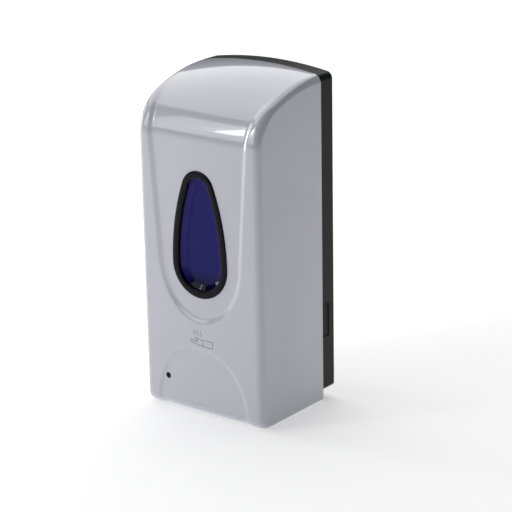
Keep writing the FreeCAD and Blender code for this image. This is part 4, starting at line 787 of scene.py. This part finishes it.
def stroke_tree():
    """Round line of a given radius along every edge chain, with closed ends."""
    tree, source, result = geometry_tree("line_strokes", (("Radius", "NodeSocketFloat"),
                                                          ("Material", "NodeSocketMaterial")))
    path = tree.nodes.new("GeometryNodeMeshToCurve")
    ring = tree.nodes.new("GeometryNodeCurvePrimitiveCircle")
    ring.inputs["Resolution"].default_value = 10
    skin = tree.nodes.new("GeometryNodeCurveToMesh")
    skin.inputs["Fill Caps"].default_value = True
    tree.links.new(source.outputs["Geometry"], path.inputs["Mesh"])
    tree.links.new(source.outputs["Radius"], ring.inputs["Radius"])
    tree.links.new(path.outputs["Curve"], skin.inputs["Curve"])
    tree.links.new(ring.outputs["Curve"], skin.inputs["Profile Curve"])
    close_tree(tree, source, result, skin.outputs["Mesh"])
    return tree


def rib_tree():
    """Ribs standing on the incoming points, each turned by the point's outward direction."""
    tree, source, result = geometry_tree("grip_ribs", (("Size", "NodeSocketVector"),
                                                       ("Material", "NodeSocketMaterial")))
    rib = tree.nodes.new("GeometryNodeMeshCube")
    turn = tree.nodes.new("FunctionNodeAlignRotationToVector")
    turn.axis = "X"
    outward = tree.nodes.new("GeometryNodeInputNamedAttribute")
    outward.data_type = "FLOAT_VECTOR"
    outward.inputs["Name"].default_value = "outward"
    place = tree.nodes.new("GeometryNodeInstanceOnPoints")
    tree.links.new(source.outputs["Size"], rib.inputs["Size"])
    tree.links.new(source.outputs["Geometry"], place.inputs["Points"])
    tree.links.new(rib.outputs["Mesh"], place.inputs["Instance"])
    tree.links.new(outward.outputs["Attribute"], turn.inputs["Vector"])
    tree.links.new(turn.outputs["Rotation"], place.inputs["Rotation"])
    close_tree(tree, source, result, place.outputs["Instances"])
    return tree


def grow(item, tree, **values):
    """Run a geometry node tree on an object and keep the mesh that it gives."""
    change = item.modifiers.new(tree.name, "NODES")
    change.node_group = tree
    for socket in tree.interface.items_tree:
        if socket.in_out == "INPUT" and socket.name in values:
            change[socket.identifier] = values[socket.name]
    bake(item)
    return item


def arc(x, up, radius, start, end, count=12):
    """Points of an arc, in millimetres, between two angles in degrees."""
    turns = [math.radians(start + (end - start) * i / count) for i in range(count + 1)]
    return [(x + radius * math.cos(t), up + radius * math.sin(t)) for t in turns]


PICTOGRAM = (
    [(-9.6, 60.0)] + arc(-9.0, 60.7, 0.85, 225, 95) + [(-2.6, 61.5), (-4.9, 62.7)]
    + arc(-4.6, 63.4, 0.75, 245, 60) + [(-0.8, 63.4), (2.2, 62.6)],
    [(-9.6, 60.0), (-4.4, 59.4), (-2.6, 58.6), (2.2, 58.6)],
    [(2.2, 58.0), (2.2, 63.2), (11.8, 63.2), (11.8, 58.0), (2.2, 58.0)],
    arc(-6.6, 66.9, 1.3, -60, 60) + arc(-5.3, 69.1, 1.3, 240, 120),
    arc(-3.4, 66.9, 1.3, -60, 60) + arc(-2.1, 69.1, 1.3, 240, 120),
    arc(-0.2, 66.9, 1.3, -60, 60) + arc(1.1, 69.1, 1.3, 240, 120),
)


class SOAP_OT_pictogram(SoapOperator):
    """Grey line drawing of a hand under falling drops"""
    bl_idname = "soap.pictogram"
    bl_label = "Pictogram"

    def execute(self, context):
        verts, edges = [], []
        for line in PICTOGRAM:
            points = self.dense(line)
            start = len(verts)
            verts += points
            edges += [(start + i, start + i + 1) for i in range(len(points) - 1)]
        mesh = bpy.data.meshes.new("pictogram")
        mesh.from_pydata(verts, edges, [])
        item = bpy.data.objects.new("pictogram", mesh)
        bpy.context.scene.collection.objects.link(item)
        material = pictogram_grey()
        grow(item, stroke_tree(), Radius=finish().stroke / 2, Material=material)
        shade(item, 50)
        fit(item, "cover", "black_gloss", material)
        return {"FINISHED"}

    def dense(self, line):
        """Points every half millimetre along a line, laid on the front."""
        points = []
        sink = finish().stroke / 2 - 0.09 * MM
        for (x0, up0), (x1, up1) in zip(line, line[1:]):
            count = max(1, round(math.hypot(x1 - x0, up1 - up0) / 0.5))
            for i in range(count):
                points.append((x0 + (x1 - x0) * i / count, up0 + (up1 - up0) * i / count))
        points.append(line[-1])
        return [(x * MM, sink - front_reach(x * MM, up * MM), RIM + up * MM) for x, up in points]


class SOAP_OT_dial(SoapOperator):
    """Grip ribs round the dose dial"""
    bl_idname = "soap.dial"
    bl_label = "Dial grip"

    def execute(self, context):
        x = (DIAL_LOW[0] + DIAL_HIGH[0]) / 2
        up = (DIAL_LOW[2] + DIAL_HIGH[2]) / 2
        radius = (DIAL_HIGH[0] - DIAL_LOW[0]) / 2 - 0.05 * MM
        near = -DIAL_LOW[1]
        count = finish().grip_ribs
        build = bmesh.new()
        for i in range(count):
            angle = 2 * math.pi * (i + 0.5) / count
            build.verts.new((x + radius * math.cos(angle), -near + 1.4 * MM,
                             up + radius * math.sin(angle)))
        mesh = bpy.data.meshes.new("dial_grip")
        build.verts.ensure_lookup_table()
        middle = Vector((x, -near + 1.4 * MM, up))
        outward = [(vert.co - middle).normalized() for vert in build.verts]
        build.to_mesh(mesh)
        build.free()
        mesh.attributes.new("outward", "FLOAT_VECTOR", "POINT")
        for entry, value in zip(mesh.attributes["outward"].data, outward):
            entry.vector = value
        item = bpy.data.objects.new("dial_grip", mesh)
        bpy.context.scene.collection.objects.link(item)
        material = finish_of("control_grey")
        grow(item, rib_tree(), Size=(0.5 * MM, 2.2 * MM, 0.5 * MM), Material=material)
        fit(item, "dose_dial", "control_grey", material)
        return {"FINISHED"}


# ---------------------------------------------------------------- stage

class SOAP_OT_stage(SoapOperator):
    """Pale floor, soft boxes, plain surroundings and the camera"""
    bl_idname = "soap.stage"
    bl_label = "Stage"

    def execute(self, context):
        scene = bpy.context.scene
        floor = new_object("floor", [(-6, -6, RIM), (6, -6, RIM), (6, 6, RIM), (-6, 6, RIM)],
                           [(0, 1, 2, 3)])
        pale = surface("pale_floor", "moulded_face", (0.82, 0.82, 0.82), (0.8, 0.8, 0.8),
                       (0.7, 0.8), 60, 0.02)
        shader = pale.node_tree.nodes["Principled BSDF"]
        shader.inputs["Emission Color"].default_value = (1, 1, 1, 1)
        shader.inputs["Emission Strength"].default_value = 0.4
        dress(floor, pale)
        lights = [
            self.softbox("top_box", (-1.3, 0.9, 1.8), (-1.2, 0.8, 0), 3.6, 3.6, 62),
            self.softbox("front_box", (-0.9, -1.7, 0.75), (0, 0, 0), 1.3, 1.0, 8),
            self.softbox("side_box", (1.7, -0.15, 0.9), (0, 0, 0), 0.5, 0.8, 0.3),
            self.softbox("tall_strip", (-0.62, -0.94, 0.66), (0.03, -0.09, 0.08), 0.08, 0.5, 1.2),
            self.softbox("left_strip", (-1.3, -0.3, 0.2), (0, 0, 0), 0.2, 1.0, 4),
        ]
        world = bpy.data.worlds.new("surroundings")
        world.use_nodes = True
        world.node_tree.nodes["Background"].inputs["Color"].default_value = (1, 1, 1, 1)
        world.node_tree.nodes["Background"].inputs["Strength"].default_value = 0.08
        scene.world = world
        scene.view_settings.view_transform = "Standard"
        data = bpy.data.cameras.new("camera")
        data.lens = CAMERA_LENS
        data.sensor_width = 36
        data.clip_start = 0.01
        camera = bpy.data.objects.new("camera", data)
        scene.collection.objects.link(camera)
        turn = Matrix((CAMERA_RIGHT, CAMERA_UP, CAMERA_BACK)).transposed().to_4x4()
        camera.matrix_world = Matrix.Translation(CAMERA_PLACE) @ turn
        scene.camera = camera
        return {"FINISHED"}

    def softbox(self, name, place, target, wide, tall, power):
        data = bpy.data.lights.new(name, "AREA")
        data.shape = "RECTANGLE"
        data.size = wide
        data.size_y = tall
        data.energy = power
        item = bpy.data.objects.new(name, data)
        bpy.context.scene.collection.objects.link(item)
        item.location = place
        aim = Vector(target) - Vector(place)
        item.rotation_euler = aim.to_track_quat("-Z", "Y").to_euler()
        return item


class SOAP_PT_panel(bpy.types.Panel):
    """Sizes, colours and steps of the soap dispenser"""
    bl_idname = "SOAP_PT_panel"
    bl_label = "Soap dispenser"
    bl_space_type = "VIEW_3D"
    bl_region_type = "UI"
    bl_category = "Soap dispenser"

    def draw(self, context):
        column = self.layout.column()
        for group in (context.scene.soap_casing, context.scene.soap_window,
                      context.scene.soap_finish):
            for key in group.__annotations__:
                column.prop(group, key)
        for step in STEPS:
            column.operator(step.bl_idname)


GROUPS = (
    ("soap_casing", SOAP_PG_casing),
    ("soap_window", SOAP_PG_window),
    ("soap_finish", SOAP_PG_finish),
)
STEPS = (
    SOAP_OT_finishes,
    SOAP_OT_cover,
    SOAP_OT_window,
    SOAP_OT_light,
    SOAP_OT_pictogram,
    SOAP_OT_dial,
    SOAP_OT_stage,
)


def register():
    for name, group in GROUPS:
        bpy.utils.register_class(group)
        setattr(bpy.types.Scene, name, PointerProperty(type=group))
    for item in (*STEPS, SOAP_PT_panel):
        bpy.utils.register_class(item)


def unregister():
    for item in reversed((*STEPS, SOAP_PT_panel)):
        bpy.utils.unregister_class(item)
    for name, group in reversed(GROUPS):
        delattr(bpy.types.Scene, name)
        bpy.utils.unregister_class(group)


def main():
    register()
    bpy.ops.soap.finishes()
    bpy.ops.soap.cover()
    bpy.ops.soap.window()
    bpy.ops.soap.light()
    bpy.ops.soap.pictogram()
    bpy.ops.soap.dial()
    bpy.ops.soap.stage()


if __name__ == "__main__":
    main()
